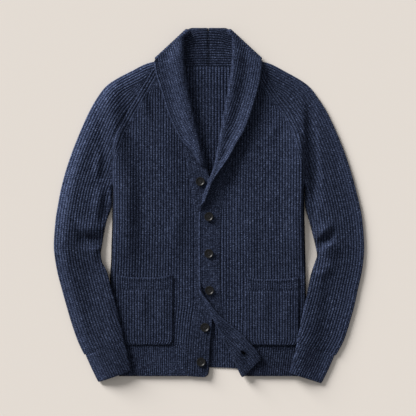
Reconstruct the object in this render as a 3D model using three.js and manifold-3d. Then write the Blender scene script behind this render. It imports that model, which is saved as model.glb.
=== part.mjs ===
// Shawl collar cardigan, raglan sleeved and rib knitted, laid flat on its back with the front up.
// Millimetres. X runs to the wearer's left, Y from hem to collar, Z up from the surface it lies on.
// Every piece is a knitted wall: a grid of points on its middle surface, moved out to both faces.

import * as THREE from 'three';
import Module from 'manifold-3d';

const wasm = await Module();
wasm.setup();

// Wall and ribs
const WALL = 3;
const BODY_RIB = { pitch: 8, height: 1.1 };
const COLLAR_RIB = { pitch: 6.8, height: 0.9 };
const FINE_RIB = { pitch: 5.5, height: 0.8 };
const SEAM_GAP = 0.3;
const LAYER_GAP = 0.35;

// Layers of the laid garment, as heights of a wall's middle above the surface
const BACK_MID = WALL / 2;
const FRONT_MID = 4.4 + WALL / 2;
const NEXT_LAYER = WALL + BODY_RIB.height + LAYER_GAP;
const FOLD_RADIUS = (FRONT_MID - BACK_MID) / 2;
const FOLD_MID = (FRONT_MID + BACK_MID) / 2;

// Centre back, neck and hem
const CENTRE = -1.5;
const NECK_SEAM_Y = 313;
const COLLAR_TOP_Y = 399.5;
const UNDERARM_Y = 53;
const CURLED_Y = 35;
const WELT_TOP_Y = -314;
const HEM_Y = -384;
const BACK_WELT_TOP_Y = -293;
const BACK_HEM_Y = -365;
const BACK_HEM_DROP = 20;

// Buttons
const BUTTON = { radius: 10, height: 3.6, rim: 3.2, dish: 1.1, sides: 16 };

// Small helpers
const clamp = (value, low, high) => Math.min(Math.max(value, low), high);
const mix = (a, b, t) => a + (b - a) * t;

function smooth(from, to, value) {
  const t = clamp((value - from) / (to - from), 0, 1);
  return t * t * (3 - 2 * t);
}

function table(names, rows) {
  const keys = names.split(' ');
  return rows.map((row) => Object.fromEntries(keys.map((key, i) => [key, row[i]])));
}

// Value of a named column at a height, straight between rows that run from top to bottom
function along(rows, y, key) {
  const last = rows.length - 1;
  for (let i = 0; i < last; i += 1) {
    if (y >= rows[i + 1].y) {
      const t = clamp((y - rows[i].y) / (rows[i + 1].y - rows[i].y), 0, 1);
      return mix(rows[i][key], rows[i + 1][key], t);
    }
  }
  return rows[last][key];
}

// Outlines of the wearer's right half: raglan or side edge, and neck or band seam
const RIGHT_SEAMS = table('y side neck', [
  [NECK_SEAM_Y, -111.5, -107],
  [308, -125.5, -106],
  [287, -139.5, -100.5],
  [239.5, -167.5, -88],
  [211.5, -184.5, -80],
  [185.5, -198, -72.5],
  [160, -210.5, -65],
  [134, -218, -58.5],
  [93.5, -218, -50.5],
  [UNDERARM_Y, -218, -44],
  [CURLED_Y, -218, -40.5],
  [-14.5, -218, -34],
  [-118, -220.5, -34],
  [-167.5, -223, -34],
  [-212.5, -222, -34],
  [-262, -218, -40.5],
  [WELT_TOP_Y, -215, -45.5],
  [HEM_Y, -202.5, -49],
]);

// The wearer's left half, whose band swings out towards the turned-back corner of the hem
const LEFT_SEAMS = table('y side neck', [
  [NECK_SEAM_Y, 108.5, 104],
  [308, 121, 103],
  [287, 132, 97.5],
  [239.5, 163, 85],
  [211.5, 184.5, 77],
  [185.5, 198.5, 70],
  [160, 210.5, 62.5],
  [134, 215.5, 57.5],
  [93.5, 215.5, 51],
  [UNDERARM_Y, 215.5, 41.5],
  [CURLED_Y, 215.5, 37],
  [-14.5, 215, 29],
  [-66.5, 216, 27],
  [-167.5, 218, 26],
  [-212.5, 218, 28.5],
  [-262, 215, 36],
  [WELT_TOP_Y, 210.5, 52.5],
  [HEM_Y, 199.5, 83.5],
]);

// Sleeve stations from neck to cuff: the outer fold, and the inner edge or raglan seam
const RIGHT_SLEEVE = table('outerX outerY innerX innerY', [
  [-120.5, 324, -111.5, NECK_SEAM_Y],
  [-139.5, 319, -125.5, 308],
  [-169, 305, -139.5, 287],
  [-228.5, 270.5, -167.5, 239.5],
  [-252, 241, -184.5, 211.5],
  [-267.5, 214, -198, 185.5],
  [-281, 185.5, -210.5, 160],
  [-293, 157.5, -218, 134],
  [-310, 114, -218, 93.5],
  [-325, 67.5, -218, UNDERARM_Y],
  [-333.5, 34, -219.5, 30.5],
  [-340, -1, -221, 1],
  [-345, -32.5, -233, -36],
  [-349, -93.5, -241, -91],
  [-346.5, -118, -243.5, -108],
  [-341, -149.5, -241, -125],
  [-332, -184.5, -229, -147.5],
  [-321, -224, -219.5, -184.5],
  [-308.5, -266.5, -207, -228.5],
  [-294.5, -306, -197.5, -268],
  [-280.5, -336, -189.5, -302],
]);

const LEFT_SLEEVE = table('outerX outerY innerX innerY', [
  [117, 324, 108.5, NECK_SEAM_Y],
  [136, 319, 121, 308],
  [166.5, 304, 132, 287],
  [223, 269.5, 163, 239.5],
  [245, 242, 184.5, 211.5],
  [263, 214, 198.5, 185.5],
  [277, 185.5, 210.5, 160],
  [290, 156.5, 215.5, 134],
  [307, 113, 215.5, 93.5],
  [322, 66.5, 215.5, UNDERARM_Y],
  [331, 32.5, 216.5, 30.5],
  [339.5, -2, 218, 1],
  [345, -34, 225, -32.5],
  [349, -93.5, 239.5, -91],
  [347.5, -120.5, 243, -111.5],
  [343, -152, 237.5, -129.5],
  [335, -188, 228.5, -155],
  [327, -225, 221, -191],
  [316, -264.5, 212, -234],
  [303, -304, 202.5, -277],
  [285, -338, 196.5, -308],
]);

const RIGHT_CUFF = table('outerX outerY innerX innerY', [
  [-278.1, -335.4, -189.9, -302.5],
  [-263, -369, -181, -338.5],
  [-249, -397.5, -173.5, -371],
]);

const LEFT_CUFF = table('outerX outerY innerX innerY', [
  [282.5, -337.5, 196.9, -308.4],
  [268, -370, 189, -344],
  [253, -400.5, 180, -376],
]);

// How far a sleeve is raised where it lies on the body and its pocket
const SLEEVE_RISE = table('y height', [
  [-60, 0],
  [-118, 9],
  [-145, 13.5],
  [-340, 13.5],
  [-358, 9],
  [-420, 9],
]);
const RISE_LENGTH = 48;

// Collar and band strips: the row's height on the seam, the roll or free edge, the fall's edge,
// and how far the strip has turned over: 0 is flat, 180 is folded back
const RIGHT_STRIP = table('y rollX rollY edgeX edgeY turn', [
  [NECK_SEAM_Y, -55.5, 377, -123.5, 324, 180],
  [308, -56, 363.5, -123.5, 317, 180],
  [287, -56, 336.5, -121, 300.5, 180],
  [239.5, -50.5, 289, -106.5, 253, 180],
  [211.5, -45.5, 260, -98, 224, 180],
  [185.5, -39.5, 229.5, -89, 198, 180],
  [160, -32.5, 198, -76.5, 171, 180],
  [134, -25, 164, -62, 145, 180],
  [107, -16, 129.5, -39, 119, 180],
  [80, -7, 95.5, -16.5, 88.5, 180],
  [74, -4.3, 87, 0, 0, 110],
  [69, -2.2, 80.5, 0, 0, 40],
  [64, 0.2, 73.5, 0, 0, 0],
  [UNDERARM_Y, 4, 59.5, 0, 0, 0],
  [CURLED_Y, 6.5, 37, 0, 0, 0],
  [12.5, 9.5, 13.5, 0, 0, 0],
  [-14.5, 11.5, -14.5, 0, 0, 0],
  [-118, 12.5, -118, 0, 0, 0],
  [-212.5, 12, -212.5, 0, 0, 0],
  [-262, 9, -262, 0, 0, 0],
  [WELT_TOP_Y, 4, -315, 0, 0, 0],
  [-370, 0.5, -371, 0, 0, 0],
  [-380, -2.2, -381.5, 0, 0, 0],
  [HEM_Y, -8, -386, 0, 0, 0],
]);

const LEFT_STRIP = table('y rollX rollY edgeX edgeY turn', [
  [NECK_SEAM_Y, 51.5, 377, 119.5, 324, 180],
  [308, 51.5, 363.5, 119.5, 317, 180],
  [287, 51.5, 336.5, 118, 300.5, 180],
  [239.5, 47, 289, 108.5, 253, 180],
  [211.5, 42.5, 260, 100, 224, 180],
  [185.5, 36.5, 228.5, 91.5, 197, 180],
  [160, 30.5, 197, 79.5, 166.5, 180],
  [134, 25, 163, 64, 140.5, 180],
  [107, 18.5, 128, 45, 106, 180],
  [80, 11, 91, 26, 80, 180],
  [UNDERARM_Y, -0.5, 57.5, 9.5, 53.5, 180],
  [CURLED_Y, -8.5, 37, 1, 35, 180],
  [12.5, -16, 11, 0, 0, 130],
  [0, -20, -1, 0, 0, 60],
  [-14.5, -23.5, -14.5, 0, 0, 0],
  [-66.5, -24.5, -66.5, 0, 0, 0],
  [-167.5, -24, -167.5, 0, 0, 0],
  [-180, -24, -181, 0, 0, 45],
  [-190, -22.5, -192, 0, 0, 110],
  [-212.5, -10.5, -216, -1.5, -213, 180],
  [-237.5, 2, -241, 17, -238, 180],
  [-262, 14.5, -266.5, 35.5, -256.5, 180],
  [-289, 27, -291.5, 61, -277, 180],
  [WELT_TOP_Y, 39.5, -317, 80, -293.5, 180],
  [-336.5, 50.5, -338.5, 94.5, -310.5, 180],
  [-361, 62.5, -363, 107.5, -325, 180],
  [HEM_Y, 73.5, -386, 119, -342, 180],
]);

// The collar's corner, where stand and fall fold from the back to the front of the neck
const CORNER = {
  roll: { x: 46.5, y: 390.5 },
  neck: { x: 107.5, y: 324 },
  lowEdge: { x: 112, y: 325 },
  topEdge: { x: 119, y: 326.5 },
  outward: { x: 0.69, y: 0.724 },
};
const BACK_COLLAR = table('rollX neckX edgeX edgeY puff', [
  [0, 0, 0, 307.5, 5],
  [23, 41, 46, 308.5, 5],
  [37, 82, 88, 313, 3.5],
]);
const CORNER_TURNS = table('turn bulgeX bulgeY', [
  [-90, 0.3, 0.95],
  [-45, -0.35, 0.94],
  [0, -0.69, 0.72],
  [45, -0.97, -0.05],
  [90, -0.67, -0.74],
]);
const CORNER_PUFF = 2.5;
const NECK_LIFT = WALL + 0.6;
const LIFT_FROM_Y = 239.5;
const LIFT_FULL_Y = 308;
const ROLL_PUFF = 5;
const PUFF_LENGTH = 30;
const EDGE_WIDTH = 9;

// Pockets: a patch with rounded lower corners under a ribbed welt whose top sags
const POCKETS = {
  right: { inner: -81, outer: -209.5, top: -162, lift: 9, weltEnd: -189, bottom: -313 },
  left: { inner: 79.5, outer: 202, top: -166, lift: 7, weltEnd: -191, bottom: -314 },
};
const POCKET_CORNER = 16;

// Buttons down the band: the first and the last two are undone and lie on the under band
const BUTTONS = table('x y layer', [
  [-19.8, 54, 0],
  [-0.5, -25, 1],
  [-0.5, -108, 1],
  [1, -190.5, 1],
  [-9, -274, 0],
  [-18, -352, 0],
]);
const BUTTONHOLE = { x: 78.5, y: -331, length: 13, width: 4.6, angle: -Math.PI / 4 };

// Broad soft folds in the fronts: middle, direction, half length, half width and height
const FRONT_FOLDS = table('x y angle length width height', [
  [-150, 10, 96, 95, 24, 2.2],
  [-75, -60, 84, 80, 20, 1.6],
  [150, 60, 82, 90, 24, 2],
  [95, -70, 92, 75, 20, 1.6],
]);
// Folds at the bent elbows, on the upper side of each sleeve
const ELBOW_FOLDS = {
  right: table('x y angle length width height', [
    [-268, -96, 6, 34, 9, 5],
    [-262, -132, -40, 40, 14, 3],
    [-330, -60, 80, 60, 10, 1.5],
  ]),
  left: table('x y angle length width height', [
    [268, -90, 28, 36, 9, 5],
    [262, -135, 40, 40, 14, 3],
    [330, -60, 100, 60, 10, 1.5],
  ]),
};

function foldHeight(folds, x, y) {
  let height = 0;
  for (const fold of folds) {
    const angle = THREE.MathUtils.degToRad(fold.angle);
    const dx = x - fold.x;
    const dy = y - fold.y;
    const run = (dx * Math.cos(angle) + dy * Math.sin(angle)) / fold.length;
    const across = (-dx * Math.sin(angle) + dy * Math.cos(angle)) / fold.width;
    height += fold.height * (1 - smooth(0, 1, Math.abs(run))) * (1 - smooth(0, 1, Math.abs(across)));
  }
  return height;
}

// The back of the collar's fall lies under the neck and lifts what is over it
function neckLift(x, y) {
  const up = clamp((y - LIFT_FROM_Y) / (LIFT_FULL_Y - LIFT_FROM_Y), 0, 1);
  const out = clamp((Math.abs(x - CENTRE) - 119) / 51, 0, 1);
  return NECK_LIFT * up * (1 - out);
}

// The left front's edge lies on the right band and comes down beside it
function bandRise(x, y) {
  const across = 1 - smooth(13, 60, x);
  const down = 1 - smooth(62, 125, y);
  return NEXT_LAYER * across * down * smooth(-330, -264, y);
}

const fronts = {
  right: {
    sign: -1,
    seams: RIGHT_SEAMS,
    level: (x, y) => FRONT_MID + neckLift(x, y),
    ribEnd: (y) => along(RIGHT_SEAMS, Math.min(y, -14.5), 'neck'),
  },
  left: {
    sign: 1,
    seams: LEFT_SEAMS,
    level: (x, y) => FRONT_MID + neckLift(x, y) + bandRise(x, y),
    ribEnd: () => 27,
  },
};

// A closed wall between two faces of one grid; grid points that fall together drop out
function wall(columns, rows, place) {
  const positions = [];
  const numbers = new Map();
  const triangles = [];
  const number = (point) => {
    const key = point.map((value) => value.toFixed(3)).join(' ');
    if (!numbers.has(key)) {
      numbers.set(key, positions.length / 3);
      positions.push(...point);
    }
    return numbers.get(key);
  };
  const triangle = (a, b, c) => {
    if (a !== b && b !== c && c !== a) triangles.push(a, b, c);
  };
  const quad = (a, b, c, d) => {
    triangle(a, b, c);
    triangle(a, c, d);
  };
  const grid = [];
  for (let j = 0; j < rows; j += 1) {
    const row = [];
    for (let i = 0; i < columns; i += 1) {
      const faces = place(i, j);
      row.push([number(faces.outer), number(faces.inner)]);
    }
    grid.push(row);
  }
  for (let j = 0; j + 1 < rows; j += 1) {
    for (let i = 0; i + 1 < columns; i += 1) {
      const [a, b, c, d] = [grid[j][i], grid[j][i + 1], grid[j + 1][i + 1], grid[j + 1][i]];
      quad(a[0], b[0], c[0], d[0]);
      quad(d[1], c[1], b[1], a[1]);
    }
  }
  const rim = (list) => {
    for (let k = 0; k + 1 < list.length; k += 1) {
      quad(list[k][0], list[k][1], list[k + 1][1], list[k + 1][0]);
    }
  };
  rim(grid[0]);
  rim([...grid[rows - 1]].reverse());
  rim(grid.map((row) => row[0]).reverse());
  rim(grid.map((row) => row[columns - 1]));
  const geometry = new THREE.BufferGeometry();
  geometry.setAttribute('position', new THREE.Float32BufferAttribute(positions, 3));
  geometry.setIndex(triangles);
  return outwards(geometry);
}

// Turns all faces round when the body's signed volume is negative
function outwards(geometry) {
  const at = geometry.attributes.position;
  const index = Array.from(geometry.index.array);
  const [a, b, c] = [new THREE.Vector3(), new THREE.Vector3(), new THREE.Vector3()];
  let volume = 0;
  for (let k = 0; k < index.length; k += 3) {
    a.fromBufferAttribute(at, index[k]);
    b.fromBufferAttribute(at, index[k + 1]);
    c.fromBufferAttribute(at, index[k + 2]);
    volume += a.dot(b.cross(c));
  }
  if (volume < 0) {
    for (let k = 0; k < index.length; k += 3) {
      [index[k + 1], index[k + 2]] = [index[k + 2], index[k + 1]];
    }
    geometry.setIndex(index);
  }
  return geometry;
}

// Relief of a rib column: crests at odd half pitches, dying out towards the ends of its run
function ribRelief(step, from, to, position, rib) {
  if (step % 2 === 0) return 0;
  const room = Math.min(position - from, to - position) / (rib.pitch / 2);
  return rib.height * clamp(room, 0, 1);
}

// An edge rolled towards its partner across a side or sleeve seam; part runs from 0 at the seam to 1
function curledEdge(curl, part) {
  const end = curl * (Math.PI / 2 - SEAM_GAP / 2 / FOLD_RADIUS);
  const angle = end * (1 - part);
  return {
    reach: (WALL / 2) * Math.sin(end) + FOLD_RADIUS * (Math.sin(end) - Math.sin(angle)),
    drop: FOLD_RADIUS * (1 - Math.cos(angle)),
    lean: Math.sin(angle),
    rise: Math.cos(angle),
  };
}

const curlAt = (y) => 1 - smooth(CURLED_Y, UNDERARM_Y, y);

// A front panel or its welt: columns run up the ribs, and the raglan keeps a border of three ribs
function frontPanel(front, rows, rib, border) {
  const { sign, seams, level } = front;
  const full = Math.abs(along(seams, -14.5, 'side') - front.ribEnd(-14.5));
  const halves = 2 * Math.round(full / rib.pitch);
  const plan = [];
  for (const part of [0, 0.5, 1]) plan.push({ kind: 'curl', part });
  for (let k = 1; k <= border; k += 1) plan.push({ kind: 'border', step: k });
  for (let k = 0; k <= halves; k += 1) plan.push({ kind: 'rib', step: k });
  plan.push({ kind: 'neck', step: 0 });
  return wall(plan.length, rows.length, (i, j) => {
    const y = rows[j];
    const column = plan[i];
    const side = along(seams, y, 'side');
    const width = Math.abs(along(seams, y, 'neck') - side) - SEAM_GAP / 2;
    const curl = curlAt(y);
    const flat = curledEdge(curl, 1).reach + (SEAM_GAP / 2) * (1 - curl);
    const slant = (BODY_RIB.pitch / 2) * 1.05 * smooth(108, 134, y) * border;
    const start = Math.min(flat + slant, width);
    const shifted = y > UNDERARM_Y ? Math.abs(along(seams, UNDERARM_Y, 'side') - side) : 0;
    const run = y > UNDERARM_Y ? full : Math.abs(side - front.ribEnd(y));
    const place = (step) => clamp((run * step) / halves - shifted, start, width);
    let reach = width;
    let relief = 0;
    let edge = curledEdge(0, 1);
    let under = width;
    if (column.kind === 'curl') {
      edge = curledEdge(curl, column.part);
      reach = Math.min(edge.reach + (SEAM_GAP / 2) * (1 - curl), width);
      under = reach;
    } else if (column.kind === 'border') {
      reach = mix(flat, start, column.step / border);
      relief = slant > 1 ? ribRelief(column.step, flat, start + rib.pitch, reach, rib) : 0;
      under = column.step < border ? flat : start;
    } else if (column.kind === 'rib') {
      reach = place(column.step);
      relief = ribRelief(column.step, start, width, reach, rib);
      under = place(6 * Math.floor(column.step / 6));
    }
    const x = side - sign * reach;
    const underX = side - sign * under;
    const folds = (a) => foldHeight(FRONT_FOLDS, a, y);
    const z = level(x, y) + folds(x) - edge.drop;
    const underZ = level(underX, y) + folds(underX) - edge.drop;
    const half = WALL / 2;
    const lean = sign * edge.lean;
    return {
      outer: [x + lean * (half + relief), y, z + edge.rise * (half + relief)],
      inner: [underX - lean * half, y, underZ - edge.rise * half],
    };
  });
}

// The back panel or its welt: ribs stand only on the inside face, where the neck and the hem show it
function backPanel(rows, rib, ribHalf, shownHalf) {
  const plan = [];
  for (const part of [0, 0.5, 1]) plan.push({ kind: 'edge', sign: -1, part });
  for (const part of [0.33, 0.67]) plan.push({ kind: 'plain', sign: -1, part });
  const steps = 2 * Math.round(ribHalf / rib.pitch);
  for (let k = -steps; k <= steps; k += 1) plan.push({ kind: 'rib', step: k });
  for (const part of [0.67, 0.33]) plan.push({ kind: 'plain', sign: 1, part });
  for (const part of [1, 0.5, 0]) plan.push({ kind: 'edge', sign: 1, part });
  return wall(plan.length, rows.length, (i, j) => {
    const row = rows[j];
    const column = plan[i];
    const sag = BACK_HEM_DROP * (1 - smooth(BACK_WELT_TOP_Y, -120, row));
    const edgeY = row - sag * 1.15;
    const curl = curlAt(row);
    const sideX = (sign) => along(sign < 0 ? RIGHT_SEAMS : LEFT_SEAMS, edgeY, 'side');
    const flat = curledEdge(curl, 1).reach + (SEAM_GAP / 2) * (1 - curl);
    const ribX = (step) => CENTRE + (step * rib.pitch) / 2;
    let x = 0;
    let underX = 0;
    let relief = 0;
    let edge = curledEdge(0, 1);
    if (column.kind === 'edge') {
      edge = curledEdge(curl, column.part);
      x = sideX(column.sign) - column.sign * (edge.reach + (SEAM_GAP / 2) * (1 - curl));
      underX = x;
    } else if (column.kind === 'plain') {
      x = mix(sideX(column.sign) - column.sign * flat, ribX(column.sign * steps), column.part);
      underX = x;
    } else {
      underX = ribX(column.step - (column.step % 6));
      x = shownHalf(row) > 0 ? ribX(column.step) : underX;
      const room = (shownHalf(row) - Math.abs(x - CENTRE)) / (rib.pitch / 2);
      relief = Math.abs(column.step) % 2 === 1 ? rib.height * clamp(room, 0, 1) : 0;
    }
    const low = (a) => row - sag * Math.min(((a - CENTRE) / 200) ** 2, 1.15);
    const y = low(x);
    const underY = low(underX);
    const lean = column.kind === 'edge' ? -column.sign * edge.lean : 0;
    const half = WALL / 2;
    const z = BACK_MID + neckLift(x, y) + edge.drop;
    const underZ = BACK_MID + neckLift(underX, underY) + edge.drop;
    return {
      outer: [x + lean * (half + relief), y, z + edge.rise * (half + relief)],
      inner: [underX - lean * half, underY, underZ - edge.rise * half],
    };
  });
}

// A sleeve or cuff: one piece folded round, from the inner edge under the arm, round the outer fold
// and back over the top; its columns run down the ribs at a fixed distance from the outer fold
function sleeve(front, stations, rib, folds, curls) {
  const { sign, seams } = front;
  const quarter = (FOLD_RADIUS * Math.PI) / 2;
  const widest = Math.max(...stations.map((s) => Math.hypot(s.innerX - s.outerX, s.innerY - s.outerY)));
  const halves = 2 * Math.ceil(widest / rib.pitch);
  const plan = [];
  for (const part of [0, 0.5]) plan.push({ ply: -1, kind: 'inner', part });
  plan.push({ ply: -1, kind: 'last' });
  for (const out of [0, RISE_LENGTH]) plan.push({ ply: -1, kind: 'rest', out });
  for (const part of [0, 0.5, 1]) plan.push({ ply: -1, kind: 'outer', part });
  plan.push({ ply: 1, kind: 'outer', part: 0.5 });
  for (let k = 0; k <= halves; k += 1) plan.push({ ply: 1, kind: 'rib', step: k });
  for (const part of [0.5, 0]) plan.push({ ply: 1, kind: 'inner', part });
  return wall(plan.length, stations.length, (i, j) => {
    const column = plan[i];
    const station = stations[j];
    const span = Math.hypot(station.innerX - station.outerX, station.innerY - station.outerY);
    const dx = (station.innerX - station.outerX) / span;
    const dy = (station.innerY - station.outerY) / span;
    const curl = curls ? curlAt(station.innerY) : 1;
    const seam = (part) => curledEdge(curl, part);
    const endGap = SEAM_GAP * (1 - curl);
    const first = WALL / 2 + FOLD_RADIUS;
    const last = Math.max(span - seam(1).reach - endGap, first + 0.01);
    const top = (step) => Math.min(first + (step * rib.pitch) / 2, last);
    const into = (x, y) => sign * (along(seams, clamp(y, HEM_Y, -60), 'side') - x);
    const lifted = into(station.innerX, station.innerY) > -RISE_LENGTH && station.innerY < -60;
    let reach = first;
    let under = null;
    let edge = { drop: 0, lean: 0, rise: 1 };
    let relief = 0;
    if (column.kind === 'inner') {
      edge = seam(column.part);
      reach = Math.max(span - edge.reach - endGap, last);
    } else if (column.kind === 'last') {
      reach = last;
    } else if (column.kind === 'rest') {
      const short = into(station.innerX, station.innerY) + column.out;
      reach = clamp(span - short / Math.abs(dx), first, last);
    } else if (column.kind === 'outer') {
      const angle = (column.part * Math.PI) / 2;
      reach = first - FOLD_RADIUS * Math.sin(angle);
      edge = { drop: FOLD_RADIUS * (1 - Math.cos(angle)), lean: -Math.sin(angle), rise: Math.cos(angle) };
    } else {
      reach = top(column.step);
      relief = ribRelief(column.step, first - rib.pitch, last, reach, rib);
      const coarse = lifted ? 2 : 6;
      under = top(coarse * Math.floor(column.step / coarse));
    }
    const face = (distance, offset) => {
      const x = station.outerX + dx * distance;
      const y = station.outerY + dy * distance;
      const slope = clamp(into(x, y) / RISE_LENGTH + 1, 0, 1);
      const rest = along(SLEEVE_RISE, y, 'height') * slope + neckLift(x, y);
      const fold = column.ply > 0 ? foldHeight(folds, x, y) : 0;
      const away = edge.lean * offset;
      const z = FOLD_MID + column.ply * (FOLD_RADIUS - edge.drop + edge.rise * offset);
      return [x + dx * away, y + dy * away, z + rest + fold];
    };
    return {
      outer: face(reach, WALL / 2 + relief),
      inner: face(under ?? reach, -WALL / 2),
    };
  });
}

// One row across a collar and band strip, as points with the direction its wrong side faces
function stripRow(front, row, before, after) {
  const seamX = along(front.seams, row.y, 'neck') - front.sign * (SEAM_GAP / 2);
  const turn = THREE.MathUtils.degToRad(row.turn);
  const folded = row.turn === 180;
  const radius = folded ? (NEXT_LAYER + ROLL_PUFF * puffAt(row)) / 2 : 3;
  const tangent = new THREE.Vector2(after.rollX - before.rollX, after.rollY - before.rollY).normalize();
  const bulge = new THREE.Vector2(tangent.y, -tangent.x).multiplyScalar(front.sign * Math.sign(-tangent.y));
  const tip = radius * Math.sin(Math.min(turn, Math.PI / 2)) + (row.turn > 0 ? WALL / 2 : 0);
  const far = radius * Math.sin(turn) + EDGE_WIDTH * Math.cos(turn);
  const inset = folded ? tip : Math.max(tip, far);
  const start = new THREE.Vector2(row.rollX, row.rollY).addScaledVector(bulge, -inset);
  const level = front.level;
  const startZ = level(start.x, start.y);
  const seam = new THREE.Vector2(seamX, row.y);
  const standLength = seam.distanceTo(start);
  const edge = new THREE.Vector2(row.edgeX, row.edgeY);
  const fallLength = folded ? edge.distanceTo(start) : EDGE_WIDTH;
  return {
    standLength,
    fallLength,
    stand(distance) {
      const p = seam.clone().lerp(start, distance / standLength);
      return { at: [p.x, p.y, level(p.x, p.y)], facing: [0, 0, -1] };
    },
    roll(part) {
      const angle = turn * part;
      const p = start.clone().addScaledVector(bulge, radius * Math.sin(angle));
      return {
        at: [p.x, p.y, startZ + radius * (1 - Math.cos(angle))],
        facing: [bulge.x * Math.sin(angle), bulge.y * Math.sin(angle), -Math.cos(angle)],
      };
    },
    fall(fromEdge) {
      const distance = fallLength - fromEdge;
      if (folded) {
        const p = start.clone().lerp(edge, distance / fallLength);
        const puff = 2 * radius - NEXT_LAYER;
        const z = mix(startZ, level(p.x, p.y), smooth(0, 12, distance)) + NEXT_LAYER;
        const lift = puff * (1 - smooth(0, PUFF_LENGTH, distance)) + pocketRise(front, p.x, p.y);
        return { at: [p.x, p.y, z + lift], facing: [0, 0, 1] };
      }
      const end = this.roll(1);
      const out = Math.cos(turn) * distance;
      const up = Math.sin(turn) * distance;
      return {
        at: [end.at[0] + bulge.x * out, end.at[1] + bulge.y * out, end.at[2] + up],
        facing: end.facing,
      };
    },
  };
}

// The lapel's roll is full at the neck and softer towards the flap
function puffAt(row) {
  return mix(0.6, 1, smooth(-200, 60, row.y));
}

// The turned-back corner passes over the pocket's lower corner
function pocketRise(front, x, y) {
  return front.sign * Math.max(0, x) === 0 ? 0 : NEXT_LAYER * smooth(48, 72, x) * (1 - smooth(-322, -345, y)) * smooth(-240, -262, y);
}

// A row of the back collar: the stand faces up and the fall lies under it on the surface
function backRow(front, row) {
  const x = (offset) => CENTRE + front.sign * (offset + SEAM_GAP / 2);
  const radius = (NECK_LIFT + row.puff * 0.8) / 2;
  const inset = radius + WALL / 2;
  const rollY = COLLAR_TOP_Y - inset;
  const seam = new THREE.Vector2(x(row.neckX), NECK_SEAM_Y + SEAM_GAP);
  const start = new THREE.Vector2(x(row.rollX), rollY);
  const edge = new THREE.Vector2(x(row.edgeX), row.edgeY);
  return collarRow(seam, start, start, edge, {
    stand: (distance) => BACK_MID + NECK_LIFT + row.puff * 0.8 * (1 - smooth(0, PUFF_LENGTH, distance)),
    fall: () => BACK_MID,
    facing: [0, 0, 1],
    bulge: [0, 1],
  });
}

// A row at the collar's corner, turned about the crease
function cornerRow(front, { turn, bulgeX, bulgeY }) {
  const angle = THREE.MathUtils.degToRad(turn);
  const out = new THREE.Vector2(front.sign * CORNER.outward.x, CORNER.outward.y);
  const point = ({ x, y }) => new THREE.Vector2(CENTRE + front.sign * x, y);
  const side = Math.cos(angle);
  const up = Math.sin(angle);
  const standMid = (BACK_MID + FRONT_MID) / 2 + NECK_LIFT;
  const topFall = FRONT_MID + NEXT_LAYER + NECK_LIFT;
  const fallRadius = (topFall - BACK_MID) / 2;
  const fallMid = (topFall + BACK_MID) / 2;
  const puff = (distance) => CORNER_PUFF * (1 - smooth(0, PUFF_LENGTH, distance));
  const seam = point(CORNER.neck).addScaledVector(out, FOLD_RADIUS * side);
  const start = point(CORNER.roll).addScaledVector(out, FOLD_RADIUS * side);
  const edgeAxis = point(CORNER.lowEdge).lerp(point(CORNER.topEdge), (turn + 90) / 180);
  const fallStart = point(CORNER.roll).addScaledVector(out, fallRadius * side);
  const edge = edgeAxis.addScaledVector(out, fallRadius * side);
  const low = Math.max(-up, 0);
  const high = Math.max(up, 0);
  return collarRow(seam, start, fallStart, edge, {
    stand: (distance) => standMid + FOLD_RADIUS * up + 0.8 * puff(distance) * low,
    fall: (distance) => fallMid + fallRadius * up + puff(distance) * high,
    facing: [-out.x * side, -out.y * side, -up],
    bulge: [front.sign * bulgeX, bulgeY],
  });
}

function collarRow(seam, start, fallStart, edge, { stand, fall, facing, bulge }) {
  const standLength = seam.distanceTo(start);
  const fallLength = edge.distanceTo(fallStart);
  const from = new THREE.Vector3(start.x, start.y, stand(0));
  const to = new THREE.Vector3(fallStart.x, fallStart.y, fall(0));
  const middle = from.clone().add(to).multiplyScalar(0.5);
  const arm = from.clone().sub(middle);
  const radius = arm.length();
  return {
    standLength,
    fallLength,
    stand(distance) {
      const p = seam.clone().lerp(start, distance / standLength);
      return { at: [p.x, p.y, stand(standLength - distance)], facing };
    },
    roll(part) {
      const angle = Math.PI * part;
      const outward = new THREE.Vector3(bulge[0], bulge[1], 0).normalize();
      const spoke = arm.clone().multiplyScalar(Math.cos(angle));
      spoke.addScaledVector(outward, radius * Math.sin(angle));
      const p = middle.clone().add(spoke);
      spoke.normalize();
      return { at: [p.x, p.y, p.z], facing: [spoke.x, spoke.y, spoke.z] };
    },
    fall(fromEdge) {
      const distance = fallLength - fromEdge;
      const p = fallStart.clone().lerp(edge, distance / fallLength);
      return { at: [p.x, p.y, fall(distance)], facing: facing.map((value) => -value) };
    },
  };
}

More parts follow.
